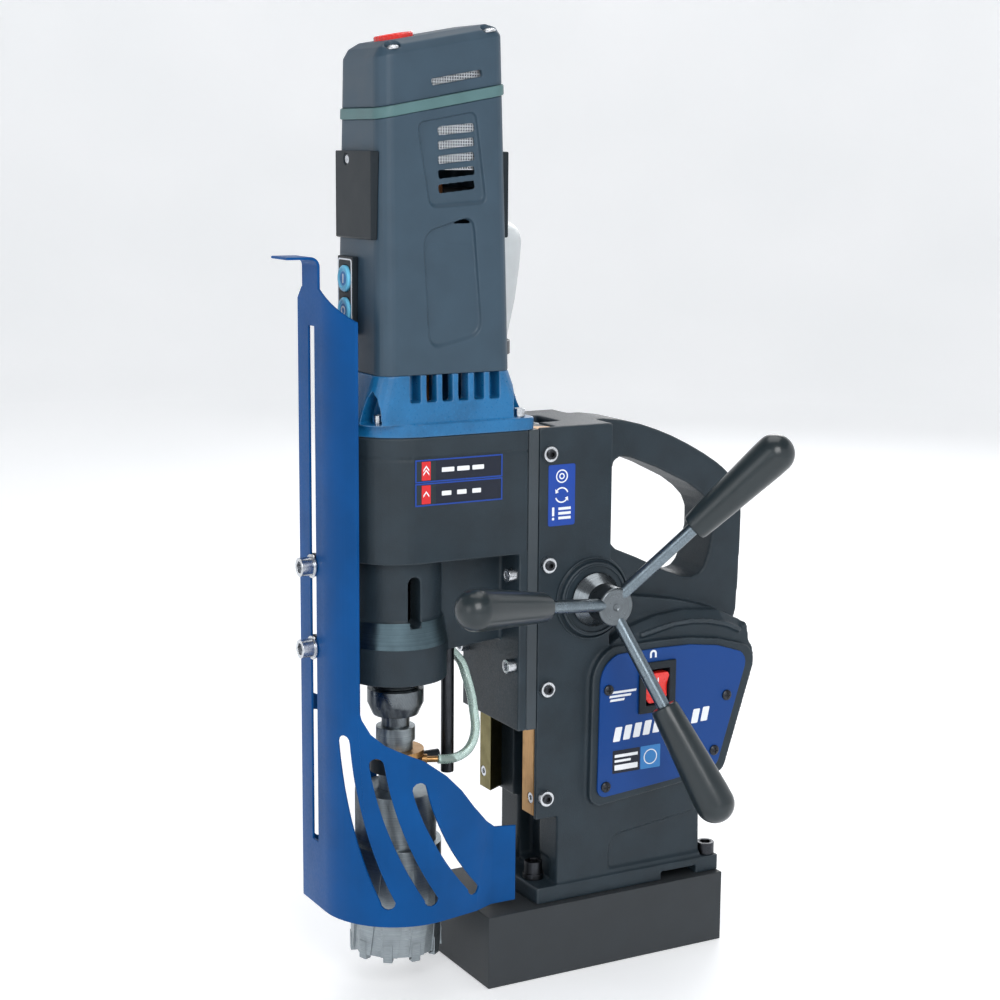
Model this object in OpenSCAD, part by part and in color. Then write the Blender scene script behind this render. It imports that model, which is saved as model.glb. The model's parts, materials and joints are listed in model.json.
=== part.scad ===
// Magnetic drill press for ring-shaped hole cutters.
// Origin: centre of the magnet's bottom face. +Z up, +Y to the carry handle, +X to the crank.

/* [Magnet foot] */
// Width of the magnet
magnet_w = 90; // [86:1:100]
// Length of the magnet
magnet_l = 180; // [170:1:200]
// Height of the magnet
magnet_h = 48; // [44:1:52]

/* [Column] */
// Width of the column casting
column_w = 76; // [74:1:80]
// Top of the column
column_top = 360; // [350:1:364]
// Half width of the carry handle
handle_half = 18; // [12:1:22]

/* [Head] */
// Distance from the magnet's centre forward to the spindle
spindle_reach = 134; // [133:1:136]
// Bottom of the gearbox casting
gearbox_bottom = 281; // [276:1:285]
// Radius of the nose under the gearbox
nose_r = 32.5; // [31:0.5:33]
// Bottom of the nose
nose_bottom = 203; // [199:1:205]

/* [Motor] */
// Bottom of the motor housing
motor_bottom = 396.5; // [396:0.5:397]
// Height of the housing at its front edge
motor_front_h = 150.5; // [145:0.5:155]
// Distance from the spindle back to the armature
armature_back = 19; // [19:1:19]

/* [Cutter] */
// Radius of the hole cutter
cutter_r = 30; // [24:1:31]
// Lowest point of the cutter's teeth
cutter_bottom = 22; // [18:1:30]
// Number of teeth
cutter_teeth = 10; // [6:1:14]

/* [Crank] */
// Length of each arm from the hub's centre to the end of its grip
arm_l = 153; // [130:1:165]
// Angle of the arms out from the hub's plane
arm_tilt = 23.9; // [15:0.1:30]

/* [Guard] */
// Lowest edge of the guard
guard_bottom = 54; // [51:1:58]
// Thickness of the guard's sheet
sheet_t = 1.6; // [1.2:0.1:2]

/* [Hidden] */
$fn = 64;
gap = 0.4;                          // running gap between sliding bodies

// column
col_half = column_w / 2;
col_front = -52.5;
col_back = 1;
foot_top = 59;
step_z = 105;                       // underside of the column's front part
foot_front = -36;                   // front of the column below that step
dove_depth = 12.5;                  // depth of the dovetail and of the strips
dove_run = dove_depth * tan(30);
strip_in_right = 20;
strip_out_right = 34.5;
strip_in_left = 23;
strip_back = col_front + dove_depth;
strip_bottom = 107;
strip_top = column_top - 1;
box_half = 43;                      // half width of the switch box
panel_x = box_half + 1.5;

// feed
rack_module = 1.5;
pinion_teeth = 20;
pinion_r = rack_module * pinion_teeth / 2;
crank_y = -12.8;
crank_z = 247.7;
rack_pitch_y = crank_y - pinion_r;
shaft_r = 8;
arm_x = 60;                         // where the arms cross the crank's axis
arm_phase = 50.2;
boss_r = 24;

// head
spin_y = -spindle_reach;
motor_y = spin_y + armature_back;
lay_y = spin_y + 44;
flange_front = -66;
flange_bottom = 166;
plate_front = -60;
head_back = col_front - gap;
head_half = 38;
gearbox_top = 359;
gearbox_r = 38;
motor_flange_back = -54.5;
groove_z = 346;

// motor
band_slope = 10.3;                  // slant of the joint under the cap
band_t = 6.5;
motor_front = -160;
motor_back = -70;
motor_half = 35;
band_front_z = motor_bottom + motor_front_h;

// guard
guard_r = 49.5;                     // outer radius of the guard's curve
guard_left = -37;
guard_front = spin_y - guard_r;
guard_flat_y = guard_front + sheet_t;
slot_x = -14.5;
guard_bolt_z = [275, 223];
tab_top = 466;
tab_bend = 6;

// coolant hose: round points chosen along its free route
hose_r = 3;
hose_route = [[11.4, -109.5, 147], [12.5, -104, 146.5], [13, -97, 147], [13, -90, 150],
    [12.5, -85, 156], [12, -83, 165], [11.5, -84, 176], [11, -86, 188], [8, -88, 199],
    [2, -88, 206], [-6, -88, 209], [-16, -89, 213], [-26, -89, 221], [-36, -87, 233],
    [-45, -82, 252], [-53, -75, 276], [-59, -66, 301], [-65, -57, 326], [-70, -49, 349],
    [-73, -45, 366], [-74, -44, 378]];

// ---------- helpers ----------

function arc(cx, cy, r, a0, a1, n) =
    [for (i = [0:n]) let (a = a0 + (a1 - a0) * i / n) [cx + r * cos(a), cy + r * sin(a)]];

// Profile drawn as (y, z) and extruded symmetrically along X
module side_profile(points, half) {
    translate([-half, 0, 0])
        rotate([90, 0, 90])
            linear_extrude(2 * half)
                polygon(points);
}

module block(x0, x1, y0, y1, z0, z1) {
    translate([x0, y0, z0])
        cube([x1 - x0, y1 - y0, z1 - z0]);
}

module rod_x(x0, x1, y, z, r) {
    translate([x0, y, z])
        rotate([0, 90, 0])
            cylinder(h = x1 - x0, r = r);
}

module rod_y(y0, y1, x, z, r) {
    translate([x, y1, z])
        rotate([90, 0, 0])
            cylinder(h = y1 - y0, r = r);
}

module rod_z(z0, z1, x, y, r, r_top = -1) {
    translate([x, y, z0])
        cylinder(h = z1 - z0, r1 = r, r2 = r_top < 0 ? r : r_top);
}

module ring_z(z0, z1, x, y, r_out, r_in) {
    difference() {
        rod_z(z0, z1, x, y, r_out);
        rod_z(z0 - 1, z1 + 1, x, y, r_in);
    }
}

// Rounded rectangle, from corner to corner, with equal corner radii
module round_rect(x0, x1, y0, y1, r) {
    polygon(concat(
        arc(x1 - r, y1 - r, r, 0, 90, 6), arc(x0 + r, y1 - r, r, 90, 180, 6),
        arc(x0 + r, y0 + r, r, 180, 270, 6), arc(x1 - r, y0 + r, r, 270, 360, 6)));
}

// Socket head screw whose head stands on z = 0 and whose shank runs down
module cap_screw(d, shank_l) {
    difference() {
        cylinder(h = d, r = 0.75 * d);
        translate([0, 0, d / 2])
            cylinder(h = d, r = 0.5 * d, $fn = 6);
    }
    translate([0, 0, -shank_l])
        cylinder(h = shank_l + 0.1, r = d / 2);
}

// Low rounded screw with a cross slot, head standing on z = 0
module pan_screw(d, shank_l) {
    difference() {
        intersection() {
            cylinder(h = 0.6 * d, r = d);
            translate([0, 0, -1.1 * d])
                sphere(r = 1.7 * d);
        }
        for (a = [0, 90])
            rotate([0, 0, a])
                translate([-0.6 * d, -0.1 * d, 0.35 * d])
                    cube([1.2 * d, 0.2 * d, d]);
    }
    translate([0, 0, -shank_l])
        cylinder(h = shank_l + 0.1, r = d / 2);
}

// Flat outline of a gear with straight-sided teeth and play between them
module gear_outline(module_mm, teeth, r_bore) {
    pitch_r = module_mm * teeth / 2;
    tip = pitch_r + 0.85 * module_mm;
    root = pitch_r - 1.15 * module_mm;
    step = 360 / teeth;
    difference() {
        polygon([for (i = [0:teeth - 1]) for (k = [[root, -0.31], [pitch_r, -0.21],
            [tip, -0.1], [tip, 0.1], [pitch_r, 0.21], [root, 0.31]])
            let (a = (i + k[1]) * step) [k[0] * cos(a), k[0] * sin(a)]]);
        circle(r = r_bore);
    }
}

// ---------- magnet foot ----------

module magnet_body() {
    rim = 9;
    pole = 13;
    color([0.2, 0.22, 0.24]) difference() {
        block(-magnet_w / 2, magnet_w / 2, -magnet_l / 2, magnet_l / 2, 0, magnet_h);
        difference() {
            block(-magnet_w / 2 + rim, magnet_w / 2 - rim,
                -magnet_l / 2 + rim, magnet_l / 2 - rim, -1, magnet_h - 11);
            block(-pole, pole, -magnet_l / 2 + 24, magnet_l / 2 - 24, -2, magnet_h);
        }
        for (p = foot_bolt_places)
            rod_z(magnet_h - 10, magnet_h + 1, p[0], p[1], 4);
    }
}

foot_bolt_places = [[20, -43.5], [-20, -43.5], [33, 84], [-33, 84]];
washer_h = 4;                       // washers under the two front foot bolts

module coil_space(clear, z0, z1) {
    translate([0, 0, z0])
        linear_extrude(z1 - z0)
            difference() {
                round_rect(-36 + clear, 36 - clear, -81 + clear, 81 - clear, 3);
                round_rect(-13 - clear, 13 + clear, -66 - clear, 66 + clear, 1);
            }
}

module magnet_coil() {
    color([0.72, 0.4, 0.2]) coil_space(1.5, 7, magnet_h - 13);
}

module coil_potting() {
    color([0.12, 0.12, 0.13]) coil_space(0.2, 0.8, 6.8);
}

module foot_bolts() {
    color([0.12, 0.13, 0.14])
        for (p = foot_bolt_places)
            if (p[1] < 0) {
                translate([p[0], p[1], foot_top + washer_h])
                    cap_screw(8, 20 + washer_h);
                rod_z(foot_top, foot_top + washer_h, p[0], p[1], 7);
            } else {
                translate([p[0], p[1], foot_top])
                    cap_screw(8, 20);
            }
}

// ---------- column casting ----------

// Outline of the casting behind the column, as (y, z)
box_outline = concat(
    [[-1, 59], [77, 59], [76, 90]],
    arc(84, 122, 8, -55, -20, 3),
    arc(103, 196, 13, -10, 45, 5),
    arc(103, 213, 8, 20, 80, 4),
    [[90, 228], [62, 231], [40, 229], [17, 223.5], [-1, 214]]);

handle_outline = [[-1, 205], [60, 200], [110, 205], [115, 222], [116.5, 245], [117.5, 288],
    [116.5, 301], [111, 312], [104, 319.5], [97, 325], [86, 332], [73, 339.2], [60, 345.5],
    [49, 350], [36, 354.5], [22, 358], [8, column_top], [-1, column_top]];

window_outline = [[13.8, 277], [17.5, 273.2], [33, 266.6], [59, 254.2], [70, 250],
    [78, 248.8], [84, 250.5], [88, 255], [91.6, 264], [94.4, 278], [94.2, 291], [91, 298.5],
    [84, 305.5], [74, 312.5], [50, 324.3], [28, 333], [20, 334.3], [15, 331.5], [13.8, 326]];

// Step between the handle's root and the casting's back
root_outline = [[-1, 205], [-1, 246], [20, 243.5], [40, 240.5], [63, 236], [87, 229],
    [104, 221], [104, 205]];

// Recess low in each side
recess_outline = concat(
    [[79, 62.5], [79, 94], [67, 92.5]],
    arc(14, 76, 10.5, 105, 175, 5),
    [[3.5, 62.5]]);

module column_housing() {
    color([0.22, 0.25, 0.27]) difference() {
        union() {
            // upright with its recessed lower front
            block(-col_half, col_half, foot_front, col_back, foot_top - 1, column_top);
            block(-col_half, col_half, col_front, foot_front + 1, step_z, column_top);
            // foot flange
            block(-col_half - 2, col_half + 2, -52, 90, magnet_h, foot_top);
            side_profile(box_outline, col_half);
            side_profile(panel_rim_outline, box_half);
            side_profile(handle_outline, handle_half);
            side_profile(root_outline, handle_half + 9);
            rod_x(-col_half, col_half, crank_y, crank_z, boss_r + 4);
            rod_x(col_half - 1, col_half + 4, crank_y, crank_z, boss_r);
            rod_x(-col_half - 4, -col_half + 1, crank_y, crank_z, 17);
        }
        side_profile(window_outline, handle_half + 20);
        for (s = [0, 1])
            mirror([s, 0, 0])
                translate([col_half - 2.2, 0, 0])
                    rotate([90, 0, 90])
                        linear_extrude(4)
                            polygon(recess_outline);
        // seat of the strips and the dovetail
        block(-col_half - 1, strip_out_right, col_front - 1, strip_back, step_z - 1, column_top + 1);
        // rack channel
        block(-14, 14, strip_back - 15, -25, foot_top + 3, column_top + 1);
        // pinion chamber and shaft bores
        rod_x(-13, 13, crank_y, crank_z, 18.5);
        rod_x(-col_half - 9, box_half + 9, crank_y, crank_z, shaft_r + 3);
        // switch box, open behind the panel
        translate([-col_half + 4, 0, 0])
            rotate([90, 0, 90])
                linear_extrude(90)
                    polygon(box_cavity);
        // slots for the safety strap
        block(-50, 50, 44, 72, magnet_h - 1, magnet_h + 6);
        for (p = foot_bolt_places)
            rod_z(magnet_h - 1, foot_top + 1, p[0], p[1], 4.2);
        // room for the front foot screws
        for (s = [-1, 1])
            block(s * 20 - 7.5, s * 20 + 7.5, -60, foot_front + 1, foot_top, foot_top + 15);
        for (z = gib_z)
            rod_x(strip_out_right - 1, col_half + 1, gib_y, z, 3);
        for (p = strip_screw_places)
            rod_y(strip_back - 1, strip_back + 12, p[0], p[1], strip_screw_r);
        rod_y(75, 125, 0, 150, 8);
        for (p = panel_screw_places)
            rod_x(box_half - 14, box_half + 2, p[0], p[1], 2);
    }
}

// Raised rim round the panel, as (y, z)
panel_rim_outline = concat(
    arc(-6, 118, 9, 180, 265, 5),
    arc(84, 126, 8, -75, -20, 3),
    arc(100, 193, 13, -12, 80, 6),
    [[84, 211], [60, 214.5], [38, 215]],
    arc(10, 192, 24, 110, 180, 6));

panel_outline = concat(
    arc(-4, 121, 6, 180, 265, 4),
    [[50, 119.5]],
    arc(80, 129, 5, -65, -20, 3),
    arc(96, 193, 9, -12, 80, 5),
    [[82, 207], [60, 210], [36, 210.5]],
    arc(11, 191, 20, 110, 180, 6));

box_cavity = concat(
    [[4, 128], [55, 126], [78, 136], [90, 188]],
    arc(84, 194, 8, 0, 80, 3),
    [[60, 202], [30, 202], [9, 192]]);

panel_screw_places = [[-3, 187], [90, 172], [-4, 122], [81, 135]];

module control_panel() {
    color([0.14, 0.33, 0.62]) difference() {
        translate([box_half, 0, 0])
            rotate([90, 0, 90])
                linear_extrude(1.5)
                    polygon(panel_outline);
        block(box_half - 1, panel_x + 1, 22.5, 45.5, 170.5, 199.5);
        for (p = panel_screw_places)
            rod_x(box_half - 1, panel_x + 1, p[0], p[1], 2.1);
    }
}

module panel_screws() {
    color([0.3, 0.32, 0.34])
        for (p = panel_screw_places)
            translate([panel_x, p[0], p[1]])
                rotate([0, 90, 0])
                    pan_screw(3.5, 10);
}

module switch_frame() {
    color([0.07, 0.07, 0.08]) difference() {
        union() {
            block(panel_x, panel_x + 2, 20, 48, 168, 202);
            block(panel_x - 22, panel_x + 0.1, 23, 45, 171, 199);
        }
        block(panel_x - 12, panel_x + 3, 25, 43, 173, 197);
        rod_y(22, 46, pivot_x, rocker_z, 1.6);
    }
}

rocker_y = 34;
rocker_z = 185;
pivot_x = panel_x - 3.5;

module magnet_rocker() {
    rest_tilt = 8;
    color([0.85, 0.1, 0.08]) {
        rod_y(rocker_y - 10, rocker_y + 10, pivot_x, rocker_z, 1.5);
        translate([pivot_x, rocker_y - 8.6, rocker_z])
            rotate([90, rest_tilt, 0])
                mirror([0, 0, 1])
                    linear_extrude(17.2)
                        polygon([[-3, -9], [5.5, -10.3], [4, 0], [5.5, 10.3], [-3, 9]]);
    }
}

module circuit_board() {
    color([0.1, 0.4, 0.2]) {
        block(-30, -28.4, 20, 76, 134, 196);
        for (p = [[32, 150], [32, 176], [58, 160]])
            rod_x(-28.5, -12, p[0], p[1], 8);
        block(-28.5, -18, 52, 72, 174, 190);
    }
}

module mains_gland() {
    color([0.1, 0.1, 0.11]) difference() {
        union() {
            rod_y(88, 108.5, 0, 150, 7.9);
            translate([0, 112, 150])
                rotate([90, 0, 0])
                    cylinder(h = 5, r = 12, $fn = 6);
            rod_y(111.9, 122, 0, 150, 9);
        }
        rod_y(80, 130, 0, 150, 4.5);
    }
}

// ---------- guides ----------

module guide_strip_right() {
    color([0.7, 0.53, 0.3]) difference() {
        translate([0, 0, strip_bottom])
            linear_extrude(strip_top - strip_bottom)
                polygon([[strip_in_right, col_front], [strip_out_right - 0.1, col_front],
                    [strip_out_right - 0.1, strip_back], [strip_in_right + dove_run, strip_back]]);
        strip_screw_holes();
    }
}

module guide_strip_left() {
    color([0.45, 0.42, 0.26]) difference() {
        translate([0, 0, strip_bottom])
            linear_extrude(strip_top - strip_bottom)
                polygon([[-strip_in_left, col_front], [-strip_in_left - dove_run, strip_back],
                    [-col_half, strip_back], [-col_half, col_front]]);
        strip_screw_holes();
    }
}

strip_screw_places = [for (z = [118, 235, 345]) for (x = [30.4, -33.4]) [x, z]];
strip_screw_r = 2;
strip_head_r = 3.5;

module strip_screw_holes() {
    for (p = strip_screw_places) {
        rod_y(col_front - 1, strip_back + 1, p[0], p[1], strip_screw_r + 0.1);
        rod_y(col_front - 1, col_front + 4.5, p[0], p[1], strip_head_r + 0.1);
    }
}

module strip_screws() {
    color([0.78, 0.79, 0.8])
        for (p = strip_screw_places)
            difference() {
                union() {
                    rod_y(col_front + 0.4, col_front + 4.5, p[0], p[1], strip_head_r);
                    rod_y(col_front + 4, strip_back + 11, p[0], p[1], strip_screw_r);
                }
                translate([p[0], col_front + 2.6, p[1]])
                    rotate([90, 0, 0])
                        cylinder(h = 4, r = 1.9, $fn = 6);
            }
}

gib_y = -46.3;
gib_z = [343.5, 272.6, 192, 119.5];

module gib_screws() {
    color([0.35, 0.36, 0.38])
        for (z = gib_z)
            difference() {
                rod_x(strip_out_right - 0.1, col_half + 5.5, gib_y, z, 3);
                translate([col_half + 3, gib_y, z])
                    rotate([0, 90, 0])
                        cylinder(h = 4, r = 1.7, $fn = 6);
            }
}

module gib_nuts() {
    color([0.8, 0.81, 0.82])
        for (z = gib_z)
            difference() {
                rod_x(col_half, col_half + 4, gib_y, z, 5);
                rod_x(col_half - 1, col_half + 5, gib_y, z, 3);
            }
}

// ---------- crank and feed ----------

module shaft_bushes() {
    color([0.72, 0.55, 0.3])
        for (s = [-1, 1])
            difference() {
                union() {
                    rod_x(s > 0 ? 14 : -col_half - 4, s > 0 ? col_half + 4 : -14,
                        crank_y, crank_z, shaft_r + 3);
                }
                rod_x(-60, 60, crank_y, crank_z, shaft_r + 0.05);
            }
}

module pinion_shaft() {
    color([0.55, 0.56, 0.58]) {
        difference() {
            rod_x(-47, 52, crank_y, crank_z, shaft_r);
            // groove of a retaining ring at the left end
            difference() {
                rod_x(-45.6, -44.2, crank_y, crank_z, shaft_r + 1);
                rod_x(-46, -44, crank_y, crank_z, shaft_r - 1);
            }
        }
        translate([-11, crank_y, crank_z])
            rotate([0, 90, 0])
                rotate([0, 0, 90])
                    linear_extrude(22)
                        gear_outline(rack_module, pinion_teeth, shaft_r - 1);
    }
}

module crank_hub() {
    cone_start = col_half + 4.6;
    color([0.3, 0.31, 0.33]) difference() {
        translate([0, crank_y, crank_z])
            rotate([0, 90, 0])
                rotate_extrude()
                    polygon([[shaft_r, cone_start], [18, cone_start], [10.5, cone_start + 11],
                        [12.4, cone_start + 11], [12.4, 67.2], [11.6, 68], [0, 68], [0, 52],
                        [shaft_r, 52]]);
        for (k = [0:2])
            arm_place(k)
                translate([0, 0, 6.5])
                    cylinder(h = 25, r = 4.2);
    }
}

// Puts children at the crossing point, with +Z along arm k
module arm_place(k) {
    translate([arm_x, crank_y, crank_z])
        rotate([arm_phase + 120 * k - 90, 0, 0])
            rotate([0, arm_tilt, 0])
                children();
}

module crank_rods() {
    color([0.5, 0.52, 0.54])
        for (k = [0:2])
            arm_place(k)
                translate([0, 0, 7])
                    cylinder(h = 91, r = 4.2);
}

grip_start = 72;
grip_end_r = 12.5;

module crank_grips() {
    color([0.13, 0.15, 0.16])
        for (k = [0:2])
            arm_place(k)
                difference() {
                    rotate_extrude()
                        polygon(concat([[0, grip_start], [8.5, grip_start], [9.5, grip_start + 1.5]],
                            [[10.3, 95], [11.4, 115], [12.3, 130]],
                            arc(0, arm_l - grip_end_r, grip_end_r, 0, 90, 9)));
                    translate([0, 0, grip_start - 1])
                        cylinder(h = 27, r = 4.2);
                }
}

// ---------- slide and rack ----------

module head_slide() {
    color([0.45, 0.47, 0.49]) difference() {
        union() {
            block(-head_half, head_half, plate_front, head_back, flange_bottom, gearbox_top);
            translate([0, 0, flange_bottom])
                linear_extrude(gearbox_top - flange_bottom)
                    polygon([[-strip_in_left + gap, head_back - 1],
                        [-strip_in_left + gap, head_back],
                        [-strip_in_left + gap - dove_run + 0.2, strip_back - gap],
                        [strip_in_right - gap + dove_run - 0.2, strip_back - gap],
                        [strip_in_right - gap, head_back],
                        [strip_in_right - gap, head_back - 1]]);
        }
        for (p = slide_bolt_places)
            rod_y(plate_front - 1, head_back + 1, p[0], p[1], 3);
        for (z = [190, 262, 335])
            rod_y(-56, strip_back + 1, 0, z, 2.5);
    }
}

slide_bolt_places = [[31.5, 267], [31.5, 208], [-31.5, 267], [-31.5, 208]];

module feed_rack() {
    tooth = PI * rack_module;
    rows = floor((gearbox_top - flange_bottom - 8) / tooth);
    middle = (gearbox_top + flange_bottom) / 2;
    first = crank_z - tooth * round((crank_z - flange_bottom - 6) / tooth);
    tip_y = rack_pitch_y + 0.85 * rack_module;
    root_y = rack_pitch_y - 1.15 * rack_module;
    color([0.5, 0.51, 0.52]) difference() {
        side_profile(concat(
            [[strip_back - gap, first - tooth / 2], [root_y, first - tooth / 2]],
            [for (i = [0:rows - 1]) for (k = [[root_y, 0.19], [rack_pitch_y, 0.29],
                [tip_y, 0.4], [tip_y, 0.6], [rack_pitch_y, 0.71], [root_y, 0.81]])
                [k[0], first + (i + k[1]) * tooth]],
            [[root_y, first + (rows + 0.1) * tooth], [strip_back - gap, first + (rows + 0.1) * tooth]]),
            10);
        for (z = [190, 262, 335])
            rod_y(-50, -32, 0, z, 2.5);
    }
}

// ---------- gearbox ----------

// Plan of the gearbox: straight sides and a round front about the spindle
module head_plan(half, back, corner) {
    polygon(concat(
        arc(half - corner, back - corner, corner, 0, 90, 4),
        arc(-half + corner, back - corner, corner, 90, 180, 4),
        arc(0, spin_y, half, 180, 360, 24)));
}

module gearbox_housing() {
    color([0.22, 0.25, 0.27]) difference() {
        union() {
            translate([0, 0, gearbox_bottom])
                linear_extrude(groove_z - 1 - gearbox_bottom)
                    head_plan(gearbox_r, plate_front, 1);
            translate([0, 0, groove_z - 1.5])
                linear_extrude(3)
                    head_plan(gearbox_r - 1.8, plate_front, 1);
            translate([0, 0, groove_z + 1])
                linear_extrude(gearbox_top - groove_z - 1)
                    head_plan(gearbox_r, plate_front, 1);
            // mounting flange
            block(-head_half, head_half, flange_front, plate_front, flange_bottom, gearbox_bottom + 1);
            // nose
            rod_z(nose_bottom, nose_step, 0, spin_y, nose_r);
            rod_z(nose_step, nose_step + 17, 0, spin_y, nose_r, nose_r - 3);
            rod_z(nose_step, gearbox_bottom + 1, 0, spin_y, nose_r - 4);
            // pad of the guard's bracket
            block(bracket_screw_x - 7, bracket_screw_x + 7, bracket_pad_y, -160, 291, 342);
            // web between nose and flange
            side_profile([[flange_front + 1, 222], [spin_y + 20, 218],
                [spin_y + 20, gearbox_bottom + 1], [flange_front + 1, gearbox_bottom + 1]], 14);
        }
        // gear chamber
        translate([0, 0, gearbox_bottom + 6])
            linear_extrude(100)
                head_plan(gearbox_r - 3.5, plate_front - 6, 4);
        // bearing seats and shaft bore in the nose
        rod_z(nose_bottom - 1, gearbox_bottom + 10, 0, spin_y, 13);
        rod_z(nose_bottom + 4, nose_bottom + 18, 0, spin_y, 21);
        rod_z(nose_bottom - 1, nose_bottom + 5, 0, spin_y, 19);
        rod_z(gearbox_bottom - 8, gearbox_bottom + 7, 0, spin_y, 21);
        rod_z(gearbox_bottom - 1, gearbox_bottom + 7, 0, lay_y, 8);
        // drift slot
        translate([0, spin_y, 0])
            rotate([0, 0, drift_turn])
                translate([5, 0, 0])
                    rotate([90, 0, 90])
                        linear_extrude(55)
                            round_rect(-4, 4, 239, 271, 3.5);
        // torque rod socket
        rod_z(190, 228, 0, rod_place, 4.2);
        for (p = slide_bolt_places)
            rod_y(flange_front - 1, plate_front + 1, p[0], p[1], 3);
        // selector bore in the left side
        rod_x(-50, -25, selector_y, selector_z, 4.05);
        for (p = flange_screw_places)
            rod_z(gearbox_top - 12, gearbox_top + 1, p[0], p[1], 2.5);
        for (z = bracket_screw_z)
            rod_y(-180, -165, bracket_screw_x, z, 2);
        for (z = bottle_screw_z)
            rod_x(-45, -30, bottle_screw_y, z, 2);
    }
}

nose_step = 226;                    // where the nose starts to narrow
drift_turn = -1;
rod_place = -97;
selector_y = -112;
selector_z = 322;

module slide_bolts() {
    color([0.8, 0.81, 0.82])
        for (p = slide_bolt_places)
            translate([p[0], flange_front, p[1]])
                rotate([90, 0, 0])
                    cap_screw(6, 12);
}

module torque_rod() {
    color([0.12, 0.13, 0.14]) rod_z(134, 228, 0, rod_place, 4.2);
}

module selector_knob() {
    color([0.12, 0.13, 0.14]) {
        rod_x(-60, -39, selector_y, selector_z, 13);
        block(-64, -59, selector_y - 3, selector_y + 3, selector_z - 11, selector_z + 15);
        rod_x(-39.5, -26, selector_y, selector_z, 4);
    }
}

// ---------- motor flange ----------

flange_screw_places = [[31.5, -64], [-31.5, -64], [23.5, -156.5], [-23.5, -156.5]];
vent_y = [for (i = [0:5]) -137.5 + 10.8 * i];
pocket_rise = 0.3;                  // floor of the screw niches above the flange's lip

module motor_flange() {
    lip = 8;
    color([0.1, 0.33, 0.62]) difference() {
        union() {
            translate([0, 0, gearbox_top])
                linear_extrude(lip)
                    head_plan(head_half, motor_flange_back, 6);
            hull() {
                translate([0, 0, gearbox_top + lip - 0.5])
                    linear_extrude(0.5)
                        round_rect(-36.5, 36.5, spin_y - 35, motor_flange_back - 3, 14);
                translate([0, 0, motor_bottom - 0.5])
                    linear_extrude(0.5)
                        round_rect(-35.5, 35.5, motor_front - 0.5, motor_back + 0.5, 12);
            }
        }
        // inner space down to the gear chamber
        rod_z(gearbox_top + 12, motor_bottom + 1, 0, motor_y, 29);
        rod_z(gearbox_top - 1, motor_bottom, 0, motor_y, 11);
        rod_z(gearbox_top - 1, gearbox_top + 8, 0, lay_y, 6);
        // vents
        for (s = [-1, 1])
            for (y = vent_y)
                block(s > 0 ? 24 : -40, s > 0 ? 40 : -24, y - 3.4, y + 3.4,
                    gearbox_top + 21, motor_bottom + 1);
        for (p = flange_screw_places) {
            screw_niche(p, gearbox_top + lip + pocket_rise);
            rod_z(gearbox_top - 1, gearbox_top + lip + 2, p[0], p[1], 2.6);
        }
    }
}

// Pointed niche that opens outwards over a flange screw
module screw_niche(p, z) {
    turn = p[1] < motor_y ? -55 : 40;
    translate([p[0], p[1], z])
        rotate([0, 0, p[0] > 0 ? turn : 180 - turn])
            translate([-6.5, 0, 0])
                rotate([90, 0, 90])
                    linear_extrude(30)
                        polygon([[-7.5, 0], [7.5, 0], [6.5, 8], [3.5, 16], [0, 20], [-3.5, 16],
                            [-6.5, 8]]);
}

module flange_screws() {
    color([0.82, 0.83, 0.84])
        for (p = flange_screw_places)
            translate([p[0], p[1], gearbox_top + 8 + pocket_rise])
                cap_screw(5, 18);
}

// ---------- motor ----------

// Everything below the slanted joint, raised by dz
module below_joint(dz) {
    translate([-80, motor_front, band_front_z + dz])
        rotate([band_slope, 0, 0])
            translate([0, -60, -400])
                cube([160, 260, 400]);
}

module motor_shape(grow) {
    hull() {
        translate([0, 0, motor_bottom])
            linear_extrude(0.5)
                round_rect(-motor_half - grow, motor_half + grow,
                    motor_front - grow, motor_back + grow, 10 + grow);
        translate([0, 0, 610])
            linear_extrude(0.5)
                round_rect(-28.5 - grow, 28.5 + grow, -157.5 - grow, -74 + grow, 9 + grow);
    }
}

brush_z = 503;
brush_screw_x = -8;
brush_screw_z = brush_z + 21;
cover_t = 2.6;                      // brush covers' face in front of the motor's lower edge

module motor_housing() {
    color([0.27, 0.33, 0.35]) difference() {
        intersection() {
            motor_shape(0);
            below_joint(0);
        }
        difference() {
            intersection() {
                motor_shape(-3);
                below_joint(1);
                block(-60, 60, -200, 0, motor_bottom + 3, 620);
            }
            // plate that holds the upper bearing
            block(-60, 60, motor_y - 16, motor_y + 16, 521, 533);
        }
        rod_z(520, 534, 0, motor_y, 11);
        rod_z(motor_bottom - 1, motor_bottom + 5, 0, motor_y, 24);
        // side vents
        for (s = [-1, 1])
            for (i = [0:4])
                translate([0, -107, 508 + 8.5 * i])
                    rotate([6, 0, 0])
                        block(s > 0 ? 20 : -45, s > 0 ? 45 : -20, -12, 12, -2.4, 2.4);
        rod_y(-175, -60, 0, brush_z, 8);
        for (y = [[-175, -150], [-80, -60]])
            rod_y(y[0], y[1], brush_screw_x, brush_screw_z, 1.6);
        block(key_x - 8, key_x + 8, -175, -150, 424, 462);
    }
}

module seal_band() {
    color([0.36, 0.44, 0.44]) difference() {
        intersection() {
            motor_shape(1.2);
            below_joint(band_t);
        }
        below_joint(0);
        motor_shape(-4);
    }
}

module cap_block(grow, height) {
    difference() {
        intersection() {
            motor_shape(grow);
            below_joint(band_t + height);
        }
        below_joint(band_t);
    }
}

// Puts children on the slanted plane dz above the joint, at x and y, with +Z square to it
module on_slant(x, y, dz) {
    translate([x, y, band_front_z + dz + (y - motor_front) * tan(band_slope)])
        rotate([band_slope, 0, 0])
            children();
}

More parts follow.
